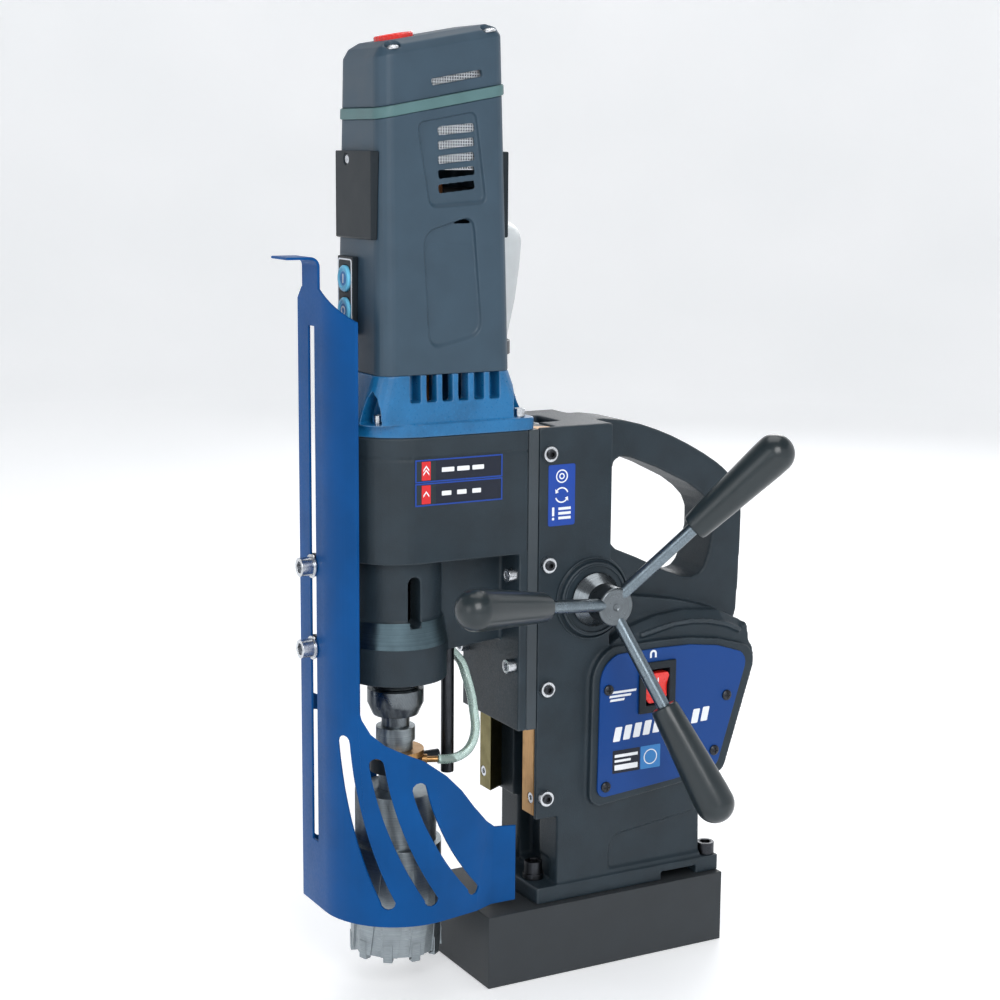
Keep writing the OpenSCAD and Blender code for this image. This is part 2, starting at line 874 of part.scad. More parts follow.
module motor_cap() {
    color([0.26, 0.32, 0.35]) difference() {
        hull() {
            cap_block(0, cap_h - 8);
            cap_block(-3, cap_h - 3);
            cap_block(-9, cap_h);
        }
        difference() {
            motor_shape(-3.5);
            difference() {
                block(-60, 60, -200, 0, 540, 660);
                below_joint(band_t + cap_h - 5);
            }
        }
        // side slots
        for (s = [-1, 1])
            on_slant(0, -107, band_t + 9)
                block(s > 0 ? 20 : -45, s > 0 ? 45 : -20, -17, 17, -2, 2);
        // seat of the dial
        on_slant(0, dial_y, band_t + cap_h - 3.5)
            cylinder(h = 20, r = 12.3);
        for (p = cap_screw_places)
            on_slant(p[0], p[1], band_t + cap_h - 5)
                cylinder(h = 20, r = 4.6);
    }
}

cap_h = 37;
dial_y = -134;
cap_screw_places = [for (x = [-24.5, 24.5]) for (y = [-147, -83]) [x, y]];

module speed_dial() {
    color([0.85, 0.1, 0.1]) on_slant(0, dial_y, band_t + cap_h - 3.3) {
        cylinder(h = 6.3, r = 12);
        translate([-1.2, 2, 6.2])
            cube([2.4, 8, 0.8]);
    }
}

module cover_screws() {
    color([0.8, 0.81, 0.82]) {
        for (p = cap_screw_places)
            on_slant(p[0], p[1], band_t + cap_h - 5)
                pan_screw(4, 0.01);
        for (s = [-1, 1])
            translate([brush_screw_x, s > 0 ? motor_back - 0.2 : motor_front - 0.9, brush_screw_z])
                rotate([s > 0 ? -90 : 90, 0, 0])
                    pan_screw(3, 4);
    }
}

module brush_covers() {
    color([0.2, 0.23, 0.25])
        for (s = [-1, 1])
            difference() {
                block(s > 0 ? -27 : -24, s > 0 ? 24 : 27, s > 0 ? motor_back - 9 : motor_front - cover_t,
                    s > 0 ? motor_back + cover_t - 0.8 : motor_front + 9, brush_z - 26, brush_z + 26);
                motor_shape(0.05);
                rod_y(-175, -60, brush_screw_x, brush_screw_z, 1.6);
                // recess of the screw's head
                rod_y(s > 0 ? motor_back - 0.2 : -175, s > 0 ? -60 : motor_front - 0.9,
                    brush_screw_x, brush_screw_z, 3.3);
            }
}

module carbon_brushes() {
    color([0.12, 0.12, 0.12])
        for (s = [-1, 1])
            rod_y(s > 0 ? motor_y + 12.5 : motor_front + 6,
                s > 0 ? motor_back - 6 : motor_y - 12.5, 0, brush_z, 4);
}

// ---------- keypad ----------

key_z = [452.5, 433];
key_x = -9;

module keypad() {
    color([0.12, 0.14, 0.16]) difference() {
        block(key_x - 11, key_x + 11, motor_front - 3.2, motor_front + 1.4, 419, 466);
        motor_shape(0.05);
        for (z = key_z)
            rod_y(-175, -140, key_x, z, 8.3);
    }
}

module key_button(z) {
    rod_y(motor_front - 5.2, motor_front - 0.5, key_x, z, 8);
    rod_y(motor_front - 1, motor_front + 6, key_x, z, 3.5);
}

module start_button() {
    color([0.35, 0.7, 0.85]) key_button(key_z[0]);
}

module stop_button() {
    color([0.35, 0.7, 0.85]) key_button(key_z[1]);
}

// ---------- motor insides ----------

module stator() {
    color([0.5, 0.42, 0.35]) difference() {
        rod_z(415, 480, 0, motor_y, 28);
        rod_z(414, 481, 0, motor_y, 20.5);
    }
}

module armature() {
    color([0.6, 0.45, 0.3]) {
        rod_z(423, 475, 0, motor_y, 20);
        rod_z(488, 512, 0, motor_y, 12);
        rod_z(345, 538, 0, motor_y, 4);
        translate([0, motor_y, 330])
            linear_extrude(15.1)
                rotate([0, 0, 18])
                    gear_outline(1, 10, 0.5);
    }
}

module cooling_fan() {
    color([0.8, 0.8, 0.78]) difference() {
        union() {
            rod_z(400.5, 402.5, 0, motor_y, 24);
            rod_z(400.5, 410, 0, motor_y, 8);
            for (i = [0:8])
                translate([0, motor_y, 402])
                    rotate([0, 0, 40 * i])
                        translate([7, -0.8, 0])
                            cube([16.5, 1.6, 8]);
        }
        rod_z(395, 415, 0, motor_y, 4);
    }
}

module motor_bearings() {
    color([0.75, 0.76, 0.77]) {
        ring_z(gearbox_top + 4, gearbox_top + 12, 0, motor_y, 11, 4.05);
        ring_z(524, 533, 0, motor_y, 11, 4.05);
    }
}

// ---------- gear train ----------

module lay_gears() {
    color([0.55, 0.56, 0.57]) {
        translate([0, lay_y, 331])
            linear_extrude(12)
                rotate([0, 0, 4.5])
                    gear_outline(1, 40, 0.5);
        translate([0, lay_y, 294])
            linear_extrude(37.1)
                gear_outline(2, 12, 0.5);
        rod_z(gearbox_bottom, gearbox_bottom + 13.1, 0, lay_y, 7.95);
        rod_z(343, gearbox_top + 7, 0, lay_y, 5.95);
    }
}

module spindle_gear() {
    color([0.55, 0.56, 0.57])
        translate([0, spin_y, 296])
            linear_extrude(16)
                rotate([0, 0, 90 + 360 / 64])
                    gear_outline(2, 32, 10);
}

module spindle() {
    color([0.62, 0.63, 0.64]) {
        rod_z(nose_bottom - 0.1, 318, 0, spin_y, 10);
        // threaded collar, grip ring and taper
        for (i = [0:3])
            rod_z(nose_bottom - 8 + 2 * i, nose_bottom - 6 + 2 * i, 0, spin_y, 14.6, 15.6);
        rod_z(186, nose_bottom - 7.9, 0, spin_y, 18);
        rod_z(178, 186, 0, spin_y, 14.5, 18);
        rod_z(170, 178.1, 0, spin_y, 9);
    }
}

module spindle_bearings() {
    color([0.75, 0.76, 0.77]) {
        ring_z(nose_bottom + 4, nose_bottom + 18, 0, spin_y, 21, 10.05);
        ring_z(gearbox_bottom - 8, gearbox_bottom + 5, 0, spin_y, 21, 10.05);
    }
}

module arbor() {
    color([0.7, 0.71, 0.72]) difference() {
        union() {
            rod_z(161, 170, 0, spin_y, 12.5);
            rod_z(129, 161.1, 0, spin_y, 11);
        }
        rod_z(128, 166, 0, spin_y, pin_r + 0.05);
    }
}

module coolant_ring() {
    color([0.15, 0.16, 0.17]) {
        difference() {
            union() {
                rod_z(141, 151, 0, spin_y, 16.5);
                rod_y(spin_y + 14, rod_place - 6.5, 0, 147, 3);
            }
            rod_z(140, 156, 0, spin_y, 11.06);
            coolant_port(12, 20, 2);
        }
    }
}

// Radial cylinder at the coolant port, from one radius to another
module coolant_port(from_r, to_r, r) {
    translate([0, spin_y, 147])
        rotate([0, 0, 65])
            rod_x(from_r, to_r, 0, 0, r);
}

module brass_fittings() {
    color([0.78, 0.6, 0.3]) {
        coolant_port(13, 27, 2);
        coolant_port(16.6, 20, 3.4);
        ring_z(151, 155, 0, spin_y, 18, 11.06);
        rod_z(378, 391, bottle_x, bottle_y, 3);
    }
}

module hole_cutter() {
    wall = 5;
    color([0.6, 0.61, 0.6]) difference() {
        union() {
            rod_z(95, 129, 0, spin_y, cutter_r - 4);
            rod_z(cutter_bottom + 3, 95.1, 0, spin_y, cutter_r - 0.8);
            for (i = [0:cutter_teeth - 1])
                translate([0, spin_y, cutter_bottom])
                    rotate([0, 0, 360 / cutter_teeth * i])
                        translate([cutter_r - wall, -3, 0])
                            cube([wall - 0.4, 6, 12]);
        }
        rod_z(cutter_bottom - 1, 88, 0, spin_y, cutter_r - wall);
        rod_z(80, 130, 0, spin_y, pin_r + 0.05);
        // chip flutes up the wall
        for (i = [0:cutter_teeth - 1])
            translate([0, spin_y, cutter_bottom - 1])
                rotate([0, 0, 360 / cutter_teeth * (i + 0.5)])
                    translate([cutter_r - 1.8, -3.5, 0])
                        rotate([-8, 0, 0])
                            cube([5, 7, 62]);
    }
}

pin_r = 3.15;
pin_top = 141;

module pilot_pin() {
    color([0.7, 0.71, 0.72])
        rod_z(cutter_bottom - 1, pin_top, 0, spin_y, pin_r);
}

// Plain sleeve of the spring's outer size
module pin_spring() {
    color([0.6, 0.61, 0.62])
        ring_z(pin_top, 166, 0, spin_y, pin_r - 0.3, 1.7);
}

// ---------- coolant ----------

// Tube of radius r swept along a list of points
module swept_tube(route, r, sides) {
    n = len(route);
    dir = [for (i = [0:n - 1]) let (d = route[min(i + 1, n - 1)] - route[max(i - 1, 0)])
        d / norm(d)];
    rings = [for (i = [0:n - 1]) let (
            u0 = cross(dir[i], [0.31, 0.92, 0.24]), u = u0 / norm(u0), v = cross(dir[i], u))
        for (k = [0:sides - 1]) route[i] + r * (cos(360 * k / sides) * u + sin(360 * k / sides) * v)];
    walls = [for (i = [0:n - 2]) for (k = [0:sides - 1]) let (k2 = (k + 1) % sides)
        for (t = [[i * sides + k, (i + 1) * sides + k, (i + 1) * sides + k2],
            [i * sides + k, (i + 1) * sides + k2, i * sides + k2]]) t];
    ends = [[for (k = [0:sides - 1]) k], [for (k = [0:sides - 1]) n * sides - 1 - k]];
    polyhedron(rings, concat(walls, ends));
}

module coolant_hose() {
    color([0.75, 0.85, 0.82, 0.6]) swept_tube(hose_route, hose_r, 10);
}

bottle_x = -74;
bottle_y = -44;
bottle_r = 35;

module coolant_bottle() {
    color([0.93, 0.94, 0.94, 0.7]) translate([bottle_x, bottle_y, 0])
        difference() {
            rotate_extrude()
                polygon(concat([[0, 390], [11, 390], [11, 399], [22, 399], [25, 402], [31, 432]],
                    arc(bottle_r - 14, 470, 14, 0, 75, 6), [[13, 487], [13, 498], [0, 498]]));
            rotate_extrude()
                polygon(concat([[0, 392], [9, 392], [9, 401], [21.5, 401], [23.2, 403], [29, 432]],
                    arc(bottle_r - 14, 470, 12, 0, 75, 6), [[11, 485], [11, 499], [0, 499]]));
            translate([0, 0, 380])
                cylinder(h = 20, r = 3);
        }
}

module bottle_cap() {
    color([0.15, 0.3, 0.55]) translate([bottle_x, bottle_y, 0])
        difference() {
            rod_z(490, 502, 0, 0, 16);
            rod_z(489, 499, 0, 0, 13.1);
        }
}

bottle_screw_y = -72;
bottle_screw_z = [300, 330];

module bottle_bracket() {
    color([0.35, 0.37, 0.39]) {
        difference() {
            block(-41, -38, -80, -64, 292, 399);
            for (z = bottle_screw_z)
                rod_x(-45, -30, bottle_screw_y, z, 2.1);
        }
        // arm and saucer under the bottle
        block(-58, -40.9, -75, -65, 396, 399);
        ring_z(396, 399, bottle_x, bottle_y, 28, 14);
        ring_z(398.9, 405, bottle_x, bottle_y, 28, 26.5);
    }
}

// ---------- guard ----------

bracket_screw_x = -3;
bracket_screw_z = [303, 331];
bracket_pad_y = spin_y - 39.5;      // front of the pad that carries the bracket
bracket_front = guard_flat_y + 0.2;

module guard_bracket() {
    x0 = bracket_screw_x - 6;
    x1 = bracket_screw_x + 6;
    color([0.2, 0.22, 0.24]) difference() {
        union() {
            block(x0, x1, bracket_pad_y - 2.4, bracket_pad_y, 288, 341);
            block(x0, x1, bracket_front, bracket_pad_y, 288, 290.4);
            block(x0, x1, bracket_front, bracket_front + 2.4, 212, 290.4);
            for (z = guard_bolt_z)
                block(slot_x - 6.5, x0 + 1, bracket_front, bracket_front + 2.4, z - 7, z + 7);
        }
        for (z = bracket_screw_z)
            rod_y(-190, -165, bracket_screw_x, z, 2.1);
        for (z = guard_bolt_z)
            rod_y(-190, -170, slot_x, z, 4);
    }
}

module guard_bolts() {
    color([0.82, 0.83, 0.84]) {
        for (z = guard_bolt_z) {
            translate([slot_x, guard_front - 1.5, z])
                rotate([90, 0, 0])
                    cap_screw(8, 6);
            rod_y(guard_front - 1.6, guard_front - 0.4, slot_x, z, 7.5);
            rod_y(bracket_front + 2.4, bracket_front + 7.9, slot_x, z, 6.5);
            rod_y(guard_front - 1, bracket_front + 9, slot_x, z, 4);
        }
        for (z = bracket_screw_z)
            translate([bracket_screw_x, bracket_pad_y - 2.4, z])
                rotate([90, 0, 0])
                    cap_screw(4, 7);
        for (z = bottle_screw_z)
            translate([-41, bottle_screw_y, z])
                rotate([0, -90, 0])
                    cap_screw(4, 6);
    }
}

// Plan of the guard's sheet, seen from above
guard_wing = [[43.5, -98], [37.5, -84.5], [37.5, -66.8]];
guard_plan = concat(
    [[guard_left, -95], [guard_left, guard_front + 2], [guard_left + 2, guard_front]],
    arc(0, spin_y, guard_r, -90, 10, 17),
    guard_wing,
    [for (i = [2:-1:0]) guard_wing[i] - [sheet_t, i == 2 ? 0 : 0.4]],
    arc(0, spin_y, guard_r - sheet_t, 10, -90, 17),
    [[guard_left + 2.7, guard_flat_y], [guard_left + sheet_t, guard_flat_y + 1.2]],
    [[guard_left + sheet_t, -95]]);

module guard_sheet(top) {
    translate([0, 0, guard_bottom])
        linear_extrude(top - guard_bottom)
            polygon(guard_plan);
}

// Region kept of the right side, as (y, z)
right_side = [[-200, 0], [-50, 0], [-50, 102.5], [-82, 105.5], [-89, 111], [-100, 123],
    [-110, 136], [-122, 148], [-138, 160], [-150, 165.5], [-161, 171], [-168, 177.5],
    [-172, 186], [-174.5, 199], [-200, 199]];

left_side = [[-200, 0], [-90, 0], [-90, 92], [-122, 138], [-150, 162], [-168, 184],
    [-184, 192], [-200, 192]];

// Curved slot from z0 down to z1 with round ends
module curved_slot(dx0, dx1, z0, z1, w) {
    n = 10;
    mid = [for (i = [0:n]) let (t = i / n) [dx0 + (dx1 - dx0) * (0.62 * t * t + 0.38 * t),
        z0 + (z1 - z0) * t]];
    polygon(concat(
        [for (i = [0:n]) mid[i] + [w / 2, 0]],
        arc(mid[n][0], mid[n][1], w / 2, -30, -150, 4),
        [for (i = [n:-1:0]) mid[i] - [w / 2, 0]],
        arc(mid[0][0], mid[0][1], w / 2, 150, 30, 4)));
}

// Slots of the curved side: facing angle, offsets of top and bottom, heights
side_slots = [[-52, -12, 17, 170, 70], [-18, -18, 16, 158, 70], [16, -20, 20, 142, 70]];

module guard() {
    color([0.06, 0.31, 0.6]) {
        difference() {
            union() {
                intersection() {
                    guard_sheet(200);
                    union() {
                        side_profile(right_side, 60);
                        block(-60, 10, -200, -170, 0, 300);
                    }
                    union() {
                        block(-20, 60, -200, -50, 0, 300);
                        side_profile(left_side, 60);
                    }
                }
                // tall front strip
                intersection() {
                    guard_sheet(448);
                    union() {
                        block(guard_left, -30, -200, guard_flat_y, 150, 460);
                        block(-31, 29, -200, -160, 150, 460);
                    }
                    translate([0, -160, 0])
                        rotate([90, 0, 0])
                            linear_extrude(40)
                                polygon([[guard_left, 100], [29, 100], [29, 429], [-4, 447],
                                    [-29, 447], [guard_left, 438]]);
                }
                // pull tab with its rounded bend
                block(-28, -4, guard_front, guard_flat_y, 440, tab_top - tab_bend);
                block(-28, -4, guard_front - 20, guard_flat_y - tab_bend, tab_top - sheet_t, tab_top);
                intersection() {
                    block(-28, -4, guard_flat_y - tab_bend, guard_flat_y, tab_top - tab_bend, tab_top);
                    difference() {
                        rod_x(-28, -4, guard_flat_y - tab_bend, tab_top - tab_bend, tab_bend);
                        rod_x(-29, -3, guard_flat_y - tab_bend, tab_top - tab_bend,
                            tab_bend - sheet_t);
                    }
                }
            }
            // adjusting slot
            block(slot_x - 4.5, slot_x + 4.5, -190, -180, 97, 424);
            for (s = side_slots)
                translate([0, spin_y, 0])
                    rotate([0, 0, s[0]])
                        rotate([90, 0, 90])
                            linear_extrude(90)
                                curved_slot(s[1], s[2], s[3], s[4], 9);
            // slots of the left side
            for (k = [[-174, 3, 172, 96], [-154, 16, 152, 72], [-126, 16, 126, 72]])
                translate([guard_left - 5, k[0], 0])
                    rotate([90, 0, 90])
                        linear_extrude(10)
                            curved_slot(0, k[1], k[2], k[3], 9);
        }
    }
}

magnet_body();
magnet_coil();
coil_potting();
column_housing();
foot_bolts();
guide_strip_right();
guide_strip_left();
strip_screws();
gib_screws();
gib_nuts();
control_panel();
panel_screws();
switch_frame();
magnet_rocker();
circuit_board();
mains_gland();
shaft_bushes();
pinion_shaft();
crank_hub();
crank_rods();
crank_grips();
head_slide();
feed_rack();
gearbox_housing();
slide_bolts();
motor_flange();
flange_screws();
motor_housing();
seal_band();
motor_cap();
cover_screws();
speed_dial();
brush_covers();
carbon_brushes();
keypad();
start_button();
stop_button();
stator();
armature();
cooling_fan();
motor_bearings();
lay_gears();
spindle();
spindle_gear();
spindle_bearings();
arbor();
hole_cutter();
pilot_pin();
pin_spring();
coolant_ring();
brass_fittings();
torque_rod();
coolant_hose();
coolant_bottle();
bottle_cap();
bottle_bracket();
selector_knob();
guard();
guard_bracket();
guard_bolts();
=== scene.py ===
import json
import math

import bmesh
import bpy
from mathutils import Matrix, Vector


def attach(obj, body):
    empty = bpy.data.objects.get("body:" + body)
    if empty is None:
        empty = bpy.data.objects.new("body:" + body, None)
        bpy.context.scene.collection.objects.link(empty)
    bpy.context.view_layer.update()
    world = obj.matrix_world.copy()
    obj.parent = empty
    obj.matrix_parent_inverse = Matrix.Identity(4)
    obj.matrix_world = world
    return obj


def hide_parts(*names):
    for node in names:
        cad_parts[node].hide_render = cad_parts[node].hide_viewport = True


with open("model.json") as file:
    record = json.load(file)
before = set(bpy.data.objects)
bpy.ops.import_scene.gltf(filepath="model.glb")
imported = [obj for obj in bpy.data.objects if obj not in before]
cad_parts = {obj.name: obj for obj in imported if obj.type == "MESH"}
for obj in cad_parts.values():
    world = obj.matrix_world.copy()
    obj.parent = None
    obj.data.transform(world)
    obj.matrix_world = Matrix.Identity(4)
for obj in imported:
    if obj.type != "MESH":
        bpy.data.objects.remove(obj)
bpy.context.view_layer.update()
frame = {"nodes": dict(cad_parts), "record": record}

# Shapes are worked out in millimetres, as in the design, and turned into metres when a piece is made.
MM = 0.001
scene = bpy.context.scene
record = frame["record"]
body_of = {node: body for body, nodes in record["behaviour"]["bodies"].items() for node in nodes}
slot_of = {part["node"]: part["material_slot"] for part in record["subparts"]}

# Places of the design that the looks need
SPIN_Y = -134.0                  # spindle axis
CRANK = Vector((60.0, -12.8, 247.7))      # where the arms cross the crank's shaft
ARM_PHASE, ARM_TILT = 50.2, 23.9   # degrees round the shaft, and towards it
SIDE_X = 38.0                    # side faces of column and gearbox
PANEL_X = 44.5                   # face of the switch panel
MOTOR_FRONT = -160.0             # front of the motor
BAND_SLOPE = math.radians(10.3)
BAND_FRONT_Z = 547.0             # joint's height at the motor's front
BAND_T, CAP_H = 6.5, 37.0        # heights of the seal band and the cap
DIAL_Y = -134.0
MOTOR_LOW, MOTOR_HIGH = 396.5, 610.0      # heights of the motor's tapered side walls
MOTOR_HALF_LOW, MOTOR_HALF_HIGH = 35.0, 28.5
SWITCH = Vector((41.0, 34.0, 185.0))      # middle of the rocker's pivot
BOTTLE = Vector((-74.0, -44.0, 0.0))      # bottle's axis


# ---------- camera, lights and floor ----------

def aim(obj, position, target, roll=0.0):
    """Places obj at position, looking at target, in metres."""
    forward = (Vector(target) - Vector(position)).normalized()
    right = forward.cross(Vector((0, 0, 1))).normalized()
    up = right.cross(forward)
    right, up = (right * math.cos(roll) + up * math.sin(roll),
                 up * math.cos(roll) - right * math.sin(roll))
    matrix = Matrix((right, up, -forward)).transposed().to_4x4()
    matrix.translation = Vector(position)
    obj.matrix_world = matrix


def add_camera():
    """Long lens at the viewing angle: 61 degrees round to the crank's side and 10 degrees down."""
    azimuth, pitch = math.radians(61.092), math.radians(10.061)
    forward = Vector((-math.sin(azimuth) * math.cos(pitch), math.cos(azimuth) * math.cos(pitch),
                      -math.sin(pitch)))
    data = bpy.data.cameras.new("camera")
    data.sensor_width = 36.0
    data.lens = 71.95
    data.clip_start = 0.05
    camera = bpy.data.objects.new("camera", data)
    scene.collection.objects.link(camera)
    position = Vector((1.10336, -0.66878, 0.53266))
    aim(camera, position, position + forward, roll=math.radians(0.437))
    scene.camera = camera


def add_softbox(name, position, target, width, height, watts, colour=(1, 1, 1)):
    light = bpy.data.lights.new(name, "AREA")
    light.shape = "RECTANGLE"
    light.size, light.size_y = width, height
    light.energy = watts
    light.color = colour
    obj = bpy.data.objects.new(name, light)
    scene.collection.objects.link(obj)
    aim(obj, position, target)


def add_world():
    world = bpy.data.worlds.new("studio")
    scene.world = world
    world.use_nodes = True
    background = world.node_tree.nodes["Background"]
    background.inputs["Color"].default_value = (0.93, 0.96, 1.0, 1)
    background.inputs["Strength"].default_value = 0.25


# ---------- materials ----------

def srgb(red, green, blue):
    """Colour given as 0 to 255 on a screen, as the linear colour that the shader wants."""
    def linear(value):
        value /= 255
        return value / 12.92 if value <= 0.04045 else ((value + 0.055) / 1.055) ** 2.4
    return (linear(red), linear(green), linear(blue), 1.0)


def scaled(colour, factor):
    return tuple(min(1.0, c * factor) for c in colour[:3]) + (1.0,)


class Finish:
    """A material with the principled shader, and short calls for its node graph."""

    def __init__(self, name, **sockets):
        self.material = bpy.data.materials.new(name)
        self.material.use_nodes = True
        self.tree = self.material.node_tree
        self.shader = self.tree.nodes["Principled BSDF"]
        for socket, value in sockets.items():
            self.shader.inputs[socket.replace("_", " ")].default_value = value
        self.place = self.tree.nodes.new("ShaderNodeTexCoord").outputs["Object"]

    def node(self, kind, inputs, **settings):
        node = self.tree.nodes.new("ShaderNode" + kind)
        for key, value in settings.items():
            setattr(node, key, value)
        for key, value in inputs.items():
            if isinstance(value, bpy.types.NodeSocket):
                self.tree.links.new(value, node.inputs[key])
            else:
                node.inputs[key].default_value = value
        return node

    def noise(self, size_mm, detail=3.0, place=None):
        """Noise whose blotches are about size_mm across."""
        inputs = {"Vector": place or self.place, "Scale": 1 / (size_mm * MM), "Detail": detail}
        return self.node("TexNoise", inputs).outputs[0]

    def stretched(self, x, y, z):
        """Object coordinates squeezed by a factor along each axis."""
        return self.node("VectorMath", {0: self.place, 1: (x, y, z)}, operation="MULTIPLY").outputs[0]

    def turned(self, axis, centre):
        """Radius and height about a lathe axis through centre, so that noise in them runs round it."""
        mask = [0.0 if i == axis else 1.0 for i in range(3)]
        moved = self.node("VectorMath", {0: self.place, 1: [c * MM for c in centre]},
                          operation="SUBTRACT").outputs[0]
        flat = self.node("VectorMath", {0: moved, 1: mask}, operation="MULTIPLY").outputs[0]
        radius = self.node("VectorMath", {0: flat}, operation="LENGTH").outputs["Value"]
        along = self.node("SeparateXYZ", {0: moved}).outputs[axis]
        return self.node("CombineXYZ", {"X": radius, "Y": along}).outputs[0]

    def ramp(self, value, low, high, to_low=0.0, to_high=1.0):
        inputs = {"Value": value, "From Min": low, "From Max": high, "To Min": to_low, "To Max": to_high}
        return self.node("MapRange", inputs).outputs[0]

    def mix(self, factor, first, second):
        node = self.node("Mix", {}, data_type="RGBA")
        for index, value in ((0, factor), (6, first), (7, second)):
            if isinstance(value, bpy.types.NodeSocket):
                self.tree.links.new(value, node.inputs[index])
            else:
                node.inputs[index].default_value = value
        return node.outputs[2]

    def edges(self, amount):
        """1 on convex edges and 0 elsewhere: where paint wears, and where a lighter colour is painted on
        as an edge highlight.
        """
        pointy = self.node("NewGeometry", {}).outputs["Pointiness"]
        return self.ramp(pointy, 0.5 + amount, 0.5 + 3 * amount)

    def set(self, socket, output):
        self.tree.links.new(output, self.shader.inputs[socket])

    def bump(self, *layers):
        """Bumps in the surface: (height output, depth in millimetres) pairs, one on another."""
        normal = None
        for height, depth in layers:
            inputs = {"Height": height, "Strength": 1.0, "Distance": depth * MM}
            if normal is not None:
                inputs["Normal"] = normal
            normal = self.node("Bump", inputs).outputs[0]
        self.set("Normal", normal)


def textured_paint(name, colour, rough, grain=0.9, depth=0.10, wear=0.10, coat=0.0, gloss=0.35):
    """Paint over a casting: fine pebbled grain, soft unevenness, and a little shine on the edges."""
    finish = Finish(name, Coat_Weight=coat, Coat_Roughness=0.25, Specular_IOR_Level=gloss)
    blotch = finish.noise(22, 4)
    pebble = finish.noise(grain, 2)
    base = finish.mix(finish.ramp(blotch, 0.35, 0.65), scaled(colour, 0.86), scaled(colour, 1.14))
    spots = finish.mix(finish.ramp(pebble, 0.55, 0.8, 0, 0.5), base, scaled(colour, 1.5))
    # convex edges go towards a pale metal grey: paint worn to bare metal, and also a painted highlight
    # along the edges
    edge_wear_and_sheen = finish.node("Math", {0: finish.edges(0.02), 1: wear}, operation="MULTIPLY").outputs[0]
    finish.set("Base Color", finish.mix(edge_wear_and_sheen, spots, srgb(150, 155, 158)))
    finish.set("Roughness", finish.ramp(pebble, 0.3, 0.7, rough - 0.08, rough + 0.1))
    finish.bump((finish.noise(9, 3), depth * 1.2), (pebble, depth))
    return finish.material


def moulded(name, colour, rough, grain=0.35, depth=0.02, tint=0.06, coat=0.0, gloss=0.38):
    """Moulded plastic with a fine spark-eroded grain."""
    finish = Finish(name, Coat_Weight=coat, Coat_Roughness=0.15, Specular_IOR_Level=gloss)
    soft = finish.noise(18, 3)
    fine = finish.noise(grain, 2)
    finish.set("Base Color", finish.mix(finish.ramp(soft, 0.35, 0.65), scaled(colour, 1 - tint),
                                        scaled(colour, 1 + tint)))
    finish.set("Roughness", finish.ramp(soft, 0.3, 0.7, rough - 0.04, rough + 0.05))
    finish.bump((fine, depth))
    return finish.material


def metal(name, colour, rough, place_of, grain=0.25, depth=0.012, streak=0.2):
    """Bare metal. place_of gives the coordinates in which its tool marks are noise."""
    finish = Finish(name, Metallic=1.0)
    marks = finish.noise(grain, 2, place_of(finish))
    cloud = finish.noise(7, 4)
    tone = finish.mix(finish.ramp(marks, 0.3, 0.7), scaled(colour, 1 - streak),
                      scaled(colour, 1 + streak))
    finish.set("Base Color", finish.mix(finish.ramp(cloud, 0.45, 0.75, 0, 0.35), tone,
                                        scaled(colour, 0.6)))
    finish.set("Roughness", finish.ramp(cloud, 0.3, 0.7, rough - 0.06, rough + 0.1))
    finish.bump((marks, depth))
    return finish.material


def gloss_paint(name, colour, rough, peel=1.6, depth=0.006, coat=0.08):
    """Powder coat on sheet steel: orange peel under a clear gloss, and a painted highlight on convex
    edges.
    """
    finish = Finish(name, Coat_Weight=coat, Coat_Roughness=0.15, Specular_IOR_Level=0.12)
    soft = finish.noise(40, 3)
    skin = finish.noise(peel, 2)
    tone = finish.mix(finish.ramp(soft, 0.35, 0.65), scaled(colour, 0.9), scaled(colour, 1.1))
    # painted highlight: convex edges get a lighter copy of the paint's own colour, standing in for light
    # caught on the bends
    edge_wear_and_sheen = finish.node("Math", {0: finish.edges(0.03), 1: 0.25}, operation="MULTIPLY").outputs[0]
    finish.set("Base Color", finish.mix(edge_wear_and_sheen, tone, scaled(colour, 1.9)))
    finish.set("Roughness", finish.ramp(skin, 0.3, 0.7, rough - 0.04, rough + 0.06))
    finish.bump((skin, depth))
    return finish.material


def clear_plastic(name, colour, rough, transmission):
    """Clear or cloudy plastic with a faint unevenness."""
    finish = Finish(name, Transmission_Weight=transmission, IOR=1.45)
    soft = finish.noise(14, 3)
    finish.set("Base Color", finish.mix(finish.ramp(soft, 0.35, 0.65), scaled(colour, 0.94), colour))
    finish.set("Roughness", finish.ramp(soft, 0.3, 0.7, rough, rough + 0.08))
    finish.bump((finish.noise(3, 2), 0.02))
    return finish.material


def ink(name, colour, rough=0.4):
    """Screen printing: almost even, with the mesh's faint grain."""
    finish = Finish(name, Specular_IOR_Level=0.28)
    fine = finish.noise(0.5, 2)
    finish.set("Base Color", finish.mix(finish.ramp(fine, 0.3, 0.7), scaled(colour, 0.93), colour))
    finish.set("Roughness", finish.ramp(fine, 0.3, 0.7, rough - 0.05, rough + 0.08))
    finish.bump((fine, 0.004))
    return finish.material


def along_z(finish):
    """Marks that run along Z, as on drawn bars."""
    return finish.stretched(1, 1, 0.02)


def about_spindle(finish):
    return finish.turned(2, (0, SPIN_Y, 0))


def about_crank(finish):
    return finish.turned(0, CRANK)


def in_place(finish):
    return finish.place


def arms_marks(finish):
    """Faint polishing marks on the crank's rods."""
    return finish.stretched(1, 0.5, 0.5)


def laminated(name, colour, layer_mm=0.6):
    """Stack of thin sheets, seen on edge."""
    finish = Finish(name, Metallic=0.7, Roughness=0.5)
    layers = finish.node("TexWave", {"Vector": finish.place, "Scale": 0.314 / (layer_mm * MM),
                                     "Distortion": 0.3}, bands_direction="Z").outputs["Fac"]
    finish.set("Base Color", finish.mix(layers, scaled(colour, 0.6), scaled(colour, 1.2)))
    finish.bump((layers, 0.08))
    return finish.material


